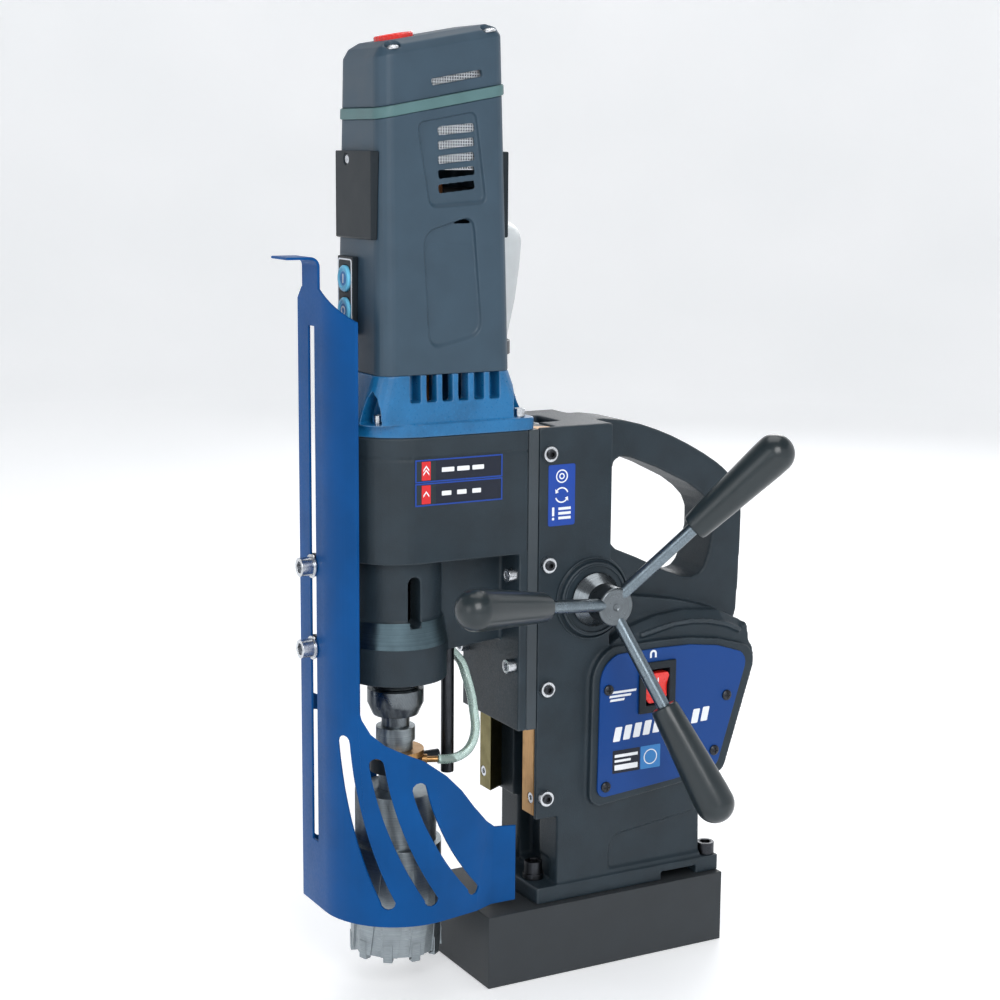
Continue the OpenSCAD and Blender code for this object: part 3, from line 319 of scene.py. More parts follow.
FINISHES = {
    "dark_casting": textured_paint("dark_casting", srgb(32, 44, 52), 0.5),
    "magnet_paint": textured_paint("magnet_paint", srgb(22, 27, 32), 0.5, gloss=0.18, grain=0.5,
                                   depth=0.03),
    "winding": laminated("winding", srgb(190, 110, 60)),
    "resin": moulded("resin", srgb(28, 28, 30), 0.35, depth=0.05),
    "zinc": metal("zinc", srgb(205, 208, 212), 0.22, in_place, grain=0.8),
    "brass": metal("brass", srgb(176, 136, 88), 0.34, along_z, grain=0.3),
    "olive_brass": metal("olive_brass", srgb(120, 112, 72), 0.38, along_z, grain=0.3),
    "black_screw": metal("black_screw", srgb(62, 64, 68), 0.35, in_place, grain=0.6),
    "panel_blue": ink("panel_blue", srgb(8, 62, 130), 0.4),
    "black_plastic": moulded("black_plastic", srgb(26, 34, 40), 0.42, gloss=0.25),
    "red_plastic": moulded("red_plastic", srgb(225, 38, 30), 0.25, coat=0.4),
    "board_green": moulded("board_green", srgb(20, 90, 50), 0.4, depth=0.1),
    "dark_steel": metal("dark_steel", srgb(112, 118, 122), 0.3, about_crank, grain=0.35, depth=0.03),
    "steel": metal("steel", srgb(146, 154, 158), 0.4, about_spindle, grain=0.3, depth=0.02),
    "grip_plastic": moulded("grip_plastic", srgb(28, 38, 42), 0.34, depth=0.008, coat=0.3),
    "blue_casting": textured_paint("blue_casting", srgb(18, 98, 148), 0.34, grain=1.6, depth=0.16,
                                   wear=0.2, coat=0.3),
    "motor_plastic": moulded("motor_plastic", srgb(50, 70, 85), 0.42, grain=0.5, depth=0.03),
    "band_rubber": moulded("band_rubber", srgb(80, 112, 114), 0.42),
    "key_blue": moulded("key_blue", srgb(110, 195, 230), 0.3),
    "laminations": laminated("laminations", srgb(130, 125, 120)),
    "rotor_copper": laminated("rotor_copper", srgb(180, 120, 80)),
    "fan_plastic": moulded("fan_plastic", srgb(215, 215, 205), 0.45),
    "hose_clear": clear_plastic("hose_clear", srgb(205, 228, 220), 0.08, 0.7),
    "bottle_white": clear_plastic("bottle_white", srgb(236, 241, 243), 0.32, 0.45),
    "cap_blue": moulded("cap_blue", srgb(30, 75, 140), 0.35),
    "guard_blue": gloss_paint("guard_blue", srgb(0, 70, 130), 0.4, coat=0.02),
    "carbon": moulded("carbon", srgb(30, 30, 32), 0.6, depth=0.06),
}
PRINT = {
    "white_print": ink("white_print", srgb(235, 238, 242)),
    "dark_print": ink("dark_print", srgb(28, 34, 48)),
    "blue_print": ink("blue_print", srgb(30, 70, 160)),
    "sky_print": ink("sky_print", srgb(60, 130, 195)),
    "red_print": ink("red_print", srgb(215, 45, 50)),
}
BARE = {
    "nose_band": metal("nose_band", srgb(88, 106, 114), 0.4, about_spindle, grain=0.4, depth=0.02),
    "polished_cone": metal("polished_cone", srgb(130, 136, 140), 0.22, about_crank, grain=0.4),
    "rod_steel": metal("rod_steel", srgb(120, 132, 140), 0.28, arms_marks, grain=0.5),
    "mesh_bright": metal("mesh_bright", srgb(200, 204, 208), 0.35, in_place, grain=0.5, depth=0.1),
}


# ---------- shapes ----------

def arc(cx, cy, radius, start, end, steps):
    """Points on an arc, from one angle to another in degrees."""
    angles = [math.radians(start + (end - start) * i / steps) for i in range(steps + 1)]
    return [(cx + radius * math.cos(a), cy + radius * math.sin(a)) for a in angles]


def rounded_outline(points, radius, closed=True, steps=4):
    """The same outline with each corner turned into a short curve."""
    result = []
    count = len(points)
    for i, here in enumerate(points):
        if not closed and i in (0, count - 1):
            result.append(tuple(here))
            continue
        here = Vector(here)
        before, after = Vector(points[i - 1]) - here, Vector(points[(i + 1) % count]) - here
        start = here + before.normalized() * min(radius, 0.45 * before.length)
        end = here + after.normalized() * min(radius, 0.45 * after.length)
        for k in range(steps + 1):
            t = k / steps
            result.append(tuple(start * (1 - t) ** 2 + here * 2 * t * (1 - t) + end * t ** 2))
    return result


def rectangle(u0, u1, v0, v1, radius=0.0, steps=4):
    corners = [(u0, v0), (u1, v0), (u1, v1), (u0, v1)]
    return rounded_outline(corners, radius, steps=steps) if radius else corners


# Where an outline's (u, v) and its height w go, for each plane
PLANES = {
    "yz": lambda u, v, w: (w, u, v),
    "xy": lambda u, v, w: (u, v, w),
    "xz": lambda u, v, w: (u, w, v),
}


def prism(bm, outline, plane, low, high, shift=None):
    """Closed solid over an outline. shift moves its far end, as a function of u and v."""
    place = PLANES[plane]
    far = [shift(u, v) if shift else (u, v) for u, v in outline]
    rings = [[bm.verts.new(place(u, v, low)) for u, v in outline],
             [bm.verts.new(place(u, v, high)) for u, v in far]]
    bm.faces.new(rings[0])
    bm.faces.new(rings[1][::-1])
    for i in range(len(outline)):
        k = (i + 1) % len(outline)
        bm.faces.new((rings[0][i], rings[0][k], rings[1][k], rings[1][i]))


def frame_prism(bm, outer, inner, plane, low, high):
    """Flat closed frame between two outlines with the same number of points."""
    place = PLANES[plane]
    rings = [[bm.verts.new(place(u, v, w)) for u, v in line]
             for line, w in ((outer, low), (outer, high), (inner, high), (inner, low))]
    for a, b in zip(rings, rings[1:] + rings[:1]):
        for i in range(len(outer)):
            k = (i + 1) % len(outer)
            bm.faces.new((a[i], a[k], b[k], b[i]))


def lathe(bm, profile, matrix, steps=72, closed=False):
    """Turns a profile of (radius, height) points about the Z axis of matrix."""
    rings = []
    for radius, height in profile:
        if radius < 1e-6:
            rings.append([bm.verts.new(matrix @ Vector((0, 0, height)))])
            continue
        angles = [2 * math.pi * k / steps for k in range(steps)]
        rings.append([bm.verts.new(matrix @ Vector((radius * math.cos(a), radius * math.sin(a), height)))
                      for a in angles])
    pairs = list(zip(rings, rings[1:])) + ([(rings[-1], rings[0])] if closed else [])
    for a, b in pairs:
        for k in range(steps):
            after = (k + 1) % steps
            corners = [a[k % len(a)], a[after % len(a)], b[after % len(b)], b[k % len(b)]]
            unique = list(dict.fromkeys(corners))
            if len(unique) > 2:
                bm.faces.new(unique)


def ribbed(bm, rows, place, steps):
    """Closed body of (radius, height, rib) rows: rib is how far a row's ribs stand out, two steps wide."""
    rings = []
    for radius, height, rib in rows:
        turns = [(radius + (rib if k % 4 < 2 else 0), 2 * math.pi * k / steps) for k in range(steps)]
        rings.append([bm.verts.new(place @ Vector((r * math.cos(a), r * math.sin(a), height)))
                      for r, a in turns])
    for a, b in zip(rings, rings[1:]):
        for k in range(steps):
            bm.faces.new((a[k], a[(k + 1) % steps], b[(k + 1) % steps], b[k]))
    bm.faces.new(rings[0])
    bm.faces.new(rings[-1])


def spindle_axis():
    return Matrix.Translation((0, SPIN_Y, 0))


def crank_axis():
    """Z along the crank's shaft, outwards, from the shaft's zero at X 0."""
    return Matrix.Translation((0, CRANK.y, CRANK.z)) @ Matrix.Rotation(math.radians(90), 4, "Y")


def arm_axis(k):
    """Z along arm k, from the point where the arms cross the shaft."""
    turn = Matrix.Rotation(math.radians(ARM_PHASE + 120 * k - 90), 4, "X")
    return Matrix.Translation(CRANK) @ turn @ Matrix.Rotation(math.radians(ARM_TILT), 4, "Y")


def slanted(x, y, rise):
    """Z square to the slanted joint of the motor, rise above it, at x and y."""
    z = BAND_FRONT_Z + rise + (y - MOTOR_FRONT) * math.tan(BAND_SLOPE)
    return Matrix.Translation((x, y, z)) @ Matrix.Rotation(BAND_SLOPE, 4, "X")


# ---------- making pieces ----------

CASTING_FACES = 12000            # a remeshed casting has more, and is smooth all over


def link(obj):
    scene.collection.objects.link(obj)
    return obj


def mesh_object(name, bm):
    """Object from a bmesh in millimetres, with its faces turned outwards."""
    bmesh.ops.recalc_face_normals(bm, faces=bm.faces)
    mesh = bpy.data.meshes.new(name)
    bm.to_mesh(mesh)
    bm.free()
    mesh.transform(Matrix.Scale(MM, 4))
    return link(bpy.data.objects.new(name, mesh))


def add_modifier(obj, kind, **settings):
    modifier = obj.modifiers.new(kind.lower(), kind)
    for key, value in settings.items():
        setattr(modifier, key, value)
    return modifier


def apply_modifiers(obj):
    graph = bpy.context.evaluated_depsgraph_get()
    old = obj.data
    mesh = bpy.data.meshes.new_from_object(obj.evaluated_get(graph))
    obj.modifiers.clear()
    obj.data = mesh
    bpy.data.meshes.remove(old)
    obj.data.name = obj.name
    return obj


def smooth(obj, angle=30):
    obj.data.polygons.foreach_set("use_smooth", [True] * len(obj.data.polygons))
    obj.data.set_sharp_from_angle(angle=math.radians(angle))


def finish_piece(obj, material, body, replaces=(), angle=30):
    """Gives a piece its material and body, and hides the CAD nodes that it stands for."""
    smooth(obj, angle)
    if len(obj.data.polygons) < CASTING_FACES:
        # broad faces keep their own normal beside a bevel
        add_modifier(obj, "WEIGHTED_NORMAL", keep_sharp=True, weight=80)
        apply_modifiers(obj)
    obj.data.materials.clear()
    obj.data.materials.append(material)
    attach(obj, body)
    if replaces:
        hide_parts(*replaces)
    return obj


def bevelled(obj, width, segments=2, angle=35):
    add_modifier(obj, "BEVEL", width=width * MM, segments=segments, limit_method="ANGLE",
                 angle_limit=math.radians(angle), use_clamp_overlap=False)
    return apply_modifiers(obj)


def cad_copy(node):
    """A bmesh in millimetres of a CAD node, joined up along its edges."""
    bm = bmesh.new()
    bm.from_mesh(frame["nodes"][node].data)
    bmesh.ops.remove_doubles(bm, verts=bm.verts, dist=2e-6)
    bmesh.ops.scale(bm, vec=(1 / MM,) * 3, verts=bm.verts)
    return bm


def tidy_faces(bm):
    """Joins coplanar triangles, so that an edge's bevel stays even."""
    bmesh.ops.dissolve_limit(bm, angle_limit=math.radians(0.4), use_dissolve_boundaries=False,
                             verts=bm.verts, edges=bm.edges)


def rounded_node(node, width, material=None, segments=2, angle=35):
    """A CAD node's shape with its sharp edges broken."""
    bm = cad_copy(node)
    tidy_faces(bm)
    obj = mesh_object(node + "_shape", bm)
    bevelled(obj, width, segments, angle)
    return finish_piece(obj, material or FINISHES[slot_of[node]], body_of[node], [node])


def cut(obj, *cutters):
    for cutter in cutters:
        add_modifier(obj, "BOOLEAN", operation="DIFFERENCE", object=cutter, solver="EXACT")
    apply_modifiers(obj)
    for cutter in cutters:
        bpy.data.objects.remove(cutter)
    return obj


def add_to(obj, extra):
    add_modifier(obj, "BOOLEAN", operation="UNION", object=extra, solver="EXACT")
    apply_modifiers(obj)
    bpy.data.objects.remove(extra)


def as_casting(obj, voxel, passes, keep):
    """Rounds every edge and inner corner, as a casting's are: remeshed, smoothed and thinned out."""
    add_modifier(obj, "REMESH", mode="VOXEL", voxel_size=voxel * MM, adaptivity=0.0)
    add_modifier(obj, "SMOOTH", factor=0.5, iterations=passes)
    add_modifier(obj, "DECIMATE", ratio=keep)
    return apply_modifiers(obj)


def flat_piece(name, outlines, plane, low, high, material, body):
    """Thin pieces of print or sheet, each over its own outline."""
    bm = bmesh.new()
    for outline in outlines:
        prism(bm, outline, plane, low, high)
    return finish_piece(mesh_object(name, bm), material, body)


# ---------- coolant hose ----------

HOSE_ROUTE = [(11.4, -109.5, 147), (12.5, -104, 146.5), (13, -97, 147), (13, -90, 150),
              (12.5, -85, 156), (12, -83, 165), (11.5, -84, 176), (11, -86, 188), (8, -88, 199),
              (2, -88, 206), (-6, -88, 209), (-16, -89, 213), (-26, -89, 221), (-36, -87, 233),
              (-45, -82, 252), (-53, -75, 276), (-59, -66, 301), (-65, -57, 326), (-70, -49, 349),
              (-73, -45, 366), (-74, -44, 378)]
HOSE_R = 3.0


def make_hose():
    """Clear hose from the fitting at the cutter's collar up to the bottle."""
    curve = bpy.data.curves.new("hose", "CURVE")
    curve.dimensions = "3D"
    curve.bevel_depth = HOSE_R * MM
    curve.bevel_resolution = 5
    curve.use_fill_caps = True
    spline = curve.splines.new("POLY")
    points = smooth_line([Vector(p) for p in HOSE_ROUTE], 4)
    spline.points.add(len(points) - 1)
    for point, place in zip(spline.points, points):
        point.co = (*(place * MM), 1)
    spline.use_smooth = True
    hose = link(bpy.data.objects.new("hose", curve))
    hose.data.materials.append(FINISHES["hose_clear"])
    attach(hose, "head")
    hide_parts("coolant_hose")


def smooth_line(points, steps):
    """Catmull-Rom curve through points."""
    line = []
    last = len(points) - 1
    for i in range(last):
        a, b, c, d = points[max(i - 1, 0)], points[i], points[i + 1], points[min(i + 2, last)]
        for k in range(steps):
            t = k / steps
            line.append(0.5 * (2 * b + (c - a) * t + (2 * a - 5 * b + 4 * c - d) * t ** 2
                               + (3 * b - a - 3 * c + d) * t ** 3))
    return line + [points[last]]


# ---------- column casting ----------

def side_solids(name, outline, half_low, half_high):
    """Loose helper solids over a (y, z) outline on both sides, for adding or cutting."""
    bm = bmesh.new()
    for s in (-1, 1):
        low, high = sorted((s * half_low, s * half_high))
        prism(bm, outline, "yz", low, high)
    return mesh_object(name, bm)


def ridge(points, thickness):
    """Band of even thickness along a line of (y, z) points."""
    upper, lower = [], []
    for i, here in enumerate(points):
        before, after = Vector(points[max(i - 1, 0)]), Vector(points[min(i + 1, len(points) - 1)])
        side = (after - before).normalized().orthogonal() * (thickness / 2)
        upper.append(tuple(Vector(here) + side))
        lower.append(tuple(Vector(here) - side))
    return upper + lower[::-1]


def make_column():
    column = mesh_object("column_shape", cad_copy("column_housing"))
    shoulder = [(24, 219), (36, 221.5), (50, 224), (64, 224.5), (78, 223), (92, 219.5), (104, 214)]
    shelf = [(18, 227), (40, 231), (62, 233), (90, 230), (108, 221)]
    add_to(column, side_solids("rib", ridge(shoulder, 3.4), 37.5, 40.6))
    # chamfer of the shelf beside the handle
    bm = bmesh.new()
    for s in (-1, 1):
        rows = [[bm.verts.new((s * x, y, z + dz)) for x, dz in ((39.5, 1.5), (29.0, 1.5), (39.5, -9.0))]
                for y, z in shelf]
        for a, b in zip(rows, rows[1:]):
            for k in range(3):
                bm.faces.new((a[k], a[(k + 1) % 3], b[(k + 1) % 3], b[k]))
        bm.faces.new(rows[0])
        bm.faces.new(rows[-1][::-1])
    cut(column, mesh_object("shelf_cutter", bm))
    as_casting(column, 0.95, passes=5, keep=0.4)
    finish_piece(column, FINISHES["dark_casting"], "base", ["column_housing"], angle=50)

    bm = bmesh.new()
    for radius, height in ((26.8, 1.5), (22.4, 5.0)):
        low = SIDE_X - 0.5
        profile = rounded_outline([(radius - 1.1, low), (radius, low), (radius, SIDE_X + height),
                                   (radius - 1.1, SIDE_X + height)], 0.5)
        lathe(bm, profile, crank_axis(), closed=True)
    finish_piece(mesh_object("boss_rings", bm), FINISHES["dark_casting"], "base")


def make_icon_label():
    """Blue label on the column: turning disc, stroke arrows and a note."""
    flat_piece("icon_label", [rectangle(-46, -26.6, 297, 336, 1.5)], "yz", SIDE_X - 0.1, SIDE_X + 0.25,
               PRINT["blue_print"], "base")
    bm = bmesh.new()
    low, high = SIDE_X + 0.2, SIDE_X + 0.32
    cy, cz = -36.3, 316.5
    for radius in (4.3, 2.0):
        frame_prism(bm, arc(cy, 328.5, radius, 0, 345, 30), arc(cy, 328.5, radius - 0.8, 0, 345, 30),
                    "yz", low, high)
    for start in (20, 200):
        prism(bm, ridge(arc(cy, cz, 4.6, start, start + 120, 12), 0.9), "yz", low, high)
        tip = arc(cy, cz, 4.6, start + 120, start + 146, 1)
        outer, inner = (arc(cy, cz, radius, start + 120, start + 121, 1)[0] for radius in (6.2, 3.0))
        prism(bm, [outer, tip[1], inner], "yz", low, high)
    prism(bm, rectangle(-43.2, -41.6, 303.4, 309, 0.4), "yz", low, high)
    prism(bm, rectangle(-43.2, -41.6, 300.8, 302.4, 0.4), "yz", low, high)
    for k in range(3):
        prism(bm, rectangle(-38.6, -29.6, 301 + 3 * k, 302.7 + 3 * k), "yz", low, high)
    finish_piece(mesh_object("icon_print", bm), PRINT["white_print"], "base")


# ---------- control panel ----------

def make_panel():
    rounded_node("control_panel", 0.35)
    low, high = PANEL_X - 0.05, PANEL_X + 0.1
    bm = bmesh.new()
    # horseshoe magnet over the switch
    legs = arc(31, 207.2, 2.6, 0, 180, 12)
    core = arc(31, 207.2, 1.2, 0, 180, 12)
    outer = [(33.6, 204.6)] + legs + [(28.4, 204.6)]
    inner = [(32.2, 204.6)] + core + [(29.8, 204.6)]
    prism(bm, outer + inner[::-1], "yz", low, high)
    # speed lines where a name would stand
    for k, length in enumerate((21, 17, 12)):
        z = 184 - 2.6 * k
        start, end = -3 + 0.6 * k, length - 3
        prism(bm, [(start, z), (end, z), (end + 0.6, z + 1.5), (start + 0.6, z + 1.5)], "yz", low, high)
    # row of slanted blocks, with a gap under the crank's arm
    for k in range(10):
        y, z = 1 + 7.6 * k, 151.5 + 0.55 * k
        if not 34 < y < 57:
            block = [(y, z), (y + 5.2, z), (y + 7.2, z + 9.6), (y + 2.0, z + 9.6)]
            prism(bm, rounded_outline(block, 0.8), "yz", low, high)
    finish_piece(mesh_object("panel_print", bm), PRINT["white_print"], "base")
    flat_piece("plate_dark", [rectangle(1, 22, 130, 145.5, 0.8)], "yz", low, high - 0.04,
               PRINT["dark_print"], "base")
    flat_piece("plate_light", [rectangle(22.6, 38, 130, 145.5, 0.8)], "yz", low, high - 0.04,
               PRINT["sky_print"], "base")
    bm = bmesh.new()
    for y0, y1, z0, z1 in ((2.6, 20.4, 140.6, 142.6), (2.6, 15, 137.4, 139.0), (2.6, 20.4, 132, 135.6)):
        prism(bm, rectangle(y0, y1, z0, z1, 0.3), "yz", low, high)
    frame_prism(bm, arc(30.3, 137.8, 5.2, 0, 350, 36), arc(30.3, 137.8, 4.5, 0, 350, 36), "yz",
                low, high)
    finish_piece(mesh_object("plate_print", bm), PRINT["white_print"], "base")


def make_switch():
    rounded_node("switch_frame", 0.5)
    # rocker with a scooped face on its pivot
    tilt = math.radians(8)
    face = [(-3, -9), (5.3, -10.6), (4.5, -7), (3.4, -3), (3.0, 0), (3.4, 3), (4.5, 7), (5.3, 10.6),
            (-3, 9)]
    bm = bmesh.new()
    turned = [(SWITCH.x + u * math.cos(tilt) + v * math.sin(tilt),
               SWITCH.z - u * math.sin(tilt) + v * math.cos(tilt)) for u, v in face]
    prism(bm, turned, "xz", SWITCH.y - 8.6, SWITCH.y + 8.6)
    rocker = mesh_object("rocker_shape", bm)
    corners = bmesh.new()
    for y, z in ((1, 1), (1, -1), (-1, 1), (-1, -1)):
        prism(corners, [(SWITCH.y + y * u, SWITCH.z + z * v) for u, v in ((9, 12), (9, 6.6), (5.2, 12))],
              "yz", 38, 50)
    bevelled(cut(rocker, mesh_object("corner_cutter", corners)), 0.6, 2, 20)
    finish_piece(rocker, FINISHES["red_plastic"], "rocker", ["magnet_rocker"])
    # on and off marks
    bm = bmesh.new()
    for v, ring in ((6.2, False), (-6.2, True)):
        slope = math.radians(97 if ring else 83)
        place = Matrix.Translation(SWITCH) @ Matrix.Rotation(tilt, 4, "Y") \
            @ Matrix.Translation((4.35, 0, v)) @ Matrix.Rotation(slope, 4, "Y")
        if ring:
            lathe(bm, [(1.7, 0), (1.7, 0.25), (2.3, 0.25), (2.3, 0)], place, 24, closed=True)
        else:
            corners = [place @ Vector((u, w, h)) for h in (0, 0.25)
                       for u, w in ((-2.2, -0.35), (2.2, -0.35), (2.2, 0.35), (-2.2, 0.35))]
            verts = [bm.verts.new(c) for c in corners]
            bm.faces.new(verts[:4])
            bm.faces.new(verts[4:])
            for k in range(4):
                bm.faces.new((verts[k], verts[(k + 1) % 4], verts[4 + (k + 1) % 4], verts[4 + k]))
    finish_piece(mesh_object("rocker_marks", bm), PRINT["white_print"], "rocker")


# ---------- gearbox and its label ----------

def make_gearbox():
    gearbox = mesh_object("gearbox_shape", cad_copy("gearbox_housing"))
    as_casting(gearbox, 0.8, passes=3, keep=0.45)
    finish_piece(gearbox, FINISHES["dark_casting"], "head", ["gearbox_housing"], angle=50)
    bm = bmesh.new()
    ring = rounded_outline([(31.7, 226.2), (32.7, 226.2), (29.8, 242.8), (28.7, 242.8)], 0.3)
    lathe(bm, ring, spindle_axis(), steps=96, closed=True)
    slot = bmesh.new()
    prism(slot, rectangle(5, 60, -3.9, 3.9), "xy", 239, 260)
    bmesh.ops.transform(slot, matrix=spindle_axis() @ Matrix.Rotation(math.radians(-1), 4, "Z"),
                        verts=slot.verts)
    band = cut(mesh_object("nose_band", bm), mesh_object("slot_cutter", slot))
    finish_piece(band, BARE["nose_band"], "head")

    low, high = SIDE_X - 0.05, SIDE_X + 0.22
    bm = bmesh.new()
    for z0, z1 in ((331.5, 345.5), (317, 331)):
        frame_prism(bm, rectangle(-139, -79, z0, z1), rectangle(-138.2, -79.8, z0 + 0.8, z1 - 0.8),
                    "yz", low, high)
    finish_piece(mesh_object("speed_label_frame", bm), PRINT["blue_print"], "head")
    flat_piece("speed_label_field", [rectangle(-125, -80.2, z, z + 12.2) for z in (318, 332.5)],
               "yz", low, high - 0.12, PRINT["dark_print"], "head")
    flat_piece("speed_label_red", [rectangle(-134.6, -128.6, z, z + 11.4, 0.4) for z in (318.3, 332.8)],
               "yz", low, high - 0.04, PRINT["red_print"], "head")
    bm = bmesh.new()
    # turning cutters: two arrows for fast, one for slow, then bars
    for z, arrows in ((338.5, 2), (324, 1)):
        for k in range(arrows):
            dz = 2.4 * k - (1.2 if arrows == 2 else 0)
            prism(bm, [(-133.6, z - 1.6 + dz), (-131.6, z + 1.0 + dz), (-129.6, z - 1.6 + dz),
                       (-129.6, z - 0.4 + dz), (-131.6, z + 2.2 + dz), (-133.6, z - 0.4 + dz)],
                  "yz", low, high)
        for y0, y1 in ((-121, -112.5), (-110.5, -102), (-100, -92)):
            end = y1 if arrows == 2 else y1 - 2
            prism(bm, rectangle(y0, end, z - 1.3, z + 1.5, 0.5), "yz", low, high)
    finish_piece(mesh_object("speed_label_print", bm), PRINT["white_print"], "head")


def make_flange():
    flange = mesh_object("flange_shape", cad_copy("motor_flange"))
    as_casting(flange, 0.62, passes=3, keep=0.45)
    finish_piece(flange, FINISHES["blue_casting"], "head", ["motor_flange"], angle=50)


# ---------- motor ----------

def make_motor():
    motor = mesh_object("motor_shape", cad_copy("motor_housing"))
    cutters = []
    recess = rounded_outline([(-133, 545.5), (-95, 552.5), (-88.5, 500), (-125.5, 497.5)], 5, steps=6)
    pocket = rounded_outline([(-130, 481), (-97, 491), (-92, 421), (-127, 413)], 9, steps=6)
    for s in (-1, 1):
        for outline, at_top, at_bottom, slope in ((recess, 2.0, 2.2, 6), (pocket, 2.6, 1.6, 8)):
            bm = bmesh.new()
            middle_y = sum(p[0] for p in outline) / len(outline)
            middle_z = sum(p[1] for p in outline) / len(outline)
            half_z = max(p[1] for p in outline) - middle_z

            def spread(u, v):
                """Widens the mouth, and slopes the lower end out gently."""
                return (middle_y + (u - middle_y) * 1.12,
                        v + (v - middle_z) * 0.03 - slope * max(0.0, (middle_z - v) / half_z))

            prism(bm, outline, "yz", 0.0, 6.0, spread)
            # the floor follows the wall's own slant
            lean = (MOTOR_HALF_LOW - MOTOR_HALF_HIGH) / (MOTOR_HIGH - MOTOR_LOW)
            for vert in bm.verts:
                wall = MOTOR_HALF_LOW - lean * (vert.co.z - MOTOR_LOW)
                share = min(1.0, max(0.0, (vert.co.z - middle_z) / (2 * half_z) + 0.5))
                vert.co.x = s * (wall - at_bottom - (at_top - at_bottom) * share + vert.co.x)
            cutters.append(mesh_object("cutter", bm))
    cut(motor, *cutters)
    as_casting(motor, 0.55, passes=2, keep=0.4)
    finish_piece(motor, FINISHES["motor_plastic"], "head", ["motor_housing"], angle=50)
    make_vent_mesh()


def make_vent_mesh():
    """Bright woven wire behind the motor's upper vents and the cap's side slots."""
    for s, side in ((-1, "left"), (1, "right")):
        bm = bmesh.new()
        for z0, z1, x in ((518, 549, 27.6), (564, 578, 26.2)):
            for k in range(24):
                y = -128 + 1.7 * k
                prism(bm, [(y, z0), (y + 0.7, z0), (y + 0.7, z1), (y, z1)], "yz", s * x, s * (x - 0.7))
            for k in range(int((z1 - z0) / 1.7)):
                z = z0 + 1.7 * k
                prism(bm, [(-129, z), (-88, z), (-88, z + 0.7), (-129, z + 0.7)], "yz",
                      s * (x - 0.3), s * (x - 1.0))
        finish_piece(mesh_object("vent_mesh_" + side, bm), BARE["mesh_bright"], "head")


def make_band_and_cap():
    rounded_node("seal_band", 0.8, segments=3)
    cap = mesh_object("cap_shape", cad_copy("motor_cap"))
    as_casting(cap, 0.6, passes=4, keep=0.45)
    finish_piece(cap, FINISHES["motor_plastic"], "head", ["motor_cap"], angle=50)


def make_dial():
    """Ribbed speed wheel with a pointer."""
    place = slanted(0, DIAL_Y, BAND_T + CAP_H - 3.3)
    bm = bmesh.new()
    rows = ((11.6, 0), (11.6, 5.2), (10.9, 6.0), (8.0, 6.0), (7.2, 5.2))
    ribbed(bm, [(radius, height, 0.35) for radius, height in rows], place, 96)
    finish_piece(mesh_object("dial_shape", bm), FINISHES["red_plastic"], "dial",
                 ["speed_dial"])
    bm = bmesh.new()
    prism(bm, rectangle(-0.6, 0.6, 1.5, 7, 0.4), "xy", 5.1, 5.7)
    bmesh.ops.transform(bm, matrix=place, verts=bm.verts)
    finish_piece(mesh_object("dial_mark", bm), PRINT["white_print"], "dial")


def make_keypad():
    key_x, front = -9.0, MOTOR_FRONT
    rounded_node("keypad", 0.6)
    bm = bmesh.new()
    frame_prism(bm, rectangle(key_x - 9.8, key_x + 9.8, 420.4, 464.6, 2.5),
                rectangle(key_x - 8.9, key_x + 8.9, 421.3, 463.7, 1.8), "xz", front - 3.45, front - 3.1)
    finish_piece(mesh_object("keypad_line", bm), PRINT["white_print"], "head")
    for name, body, z in (("start_button", "start_key", 452.5), ("stop_button", "stop_key", 433.0)):
        axis = Matrix.Translation((key_x, front, z)) @ Matrix.Rotation(math.radians(90), 4, "X")
        bm = bmesh.new()
        lathe(bm, [(0, -6), (3.5, -6), (3.5, 0.5), (8, 0.5), (8, 4.2), (7.4, 4.9), (5.9, 5.1), (5.6, 4.5),
                   (0, 4.3)], axis)
        finish_piece(mesh_object(name + "_shape", bm), FINISHES["key_blue"], body, [name])
        bm = bmesh.new()
        lathe(bm, [(0, 4.2), (4.3, 4.2), (4.3, 4.5), (0, 4.5)], axis, 40)
        finish_piece(mesh_object(name + "_centre", bm), PRINT["sky_print"], body)
        bm = bmesh.new()
        if name == "start_button":
            prism(bm, rectangle(-0.5, 0.5, -2.8, 2.8, 0.3), "xy", 4.4, 4.75)
        else:
            lathe(bm, [(2.0, 4.4), (2.0, 4.75), (2.9, 4.75), (2.9, 4.4)], Matrix.Identity(4), 32,
                  closed=True)
        bmesh.ops.transform(bm, matrix=axis, verts=bm.verts)
        finish_piece(mesh_object(name + "_mark", bm), PRINT["white_print"], body)


# ---------- crank ----------

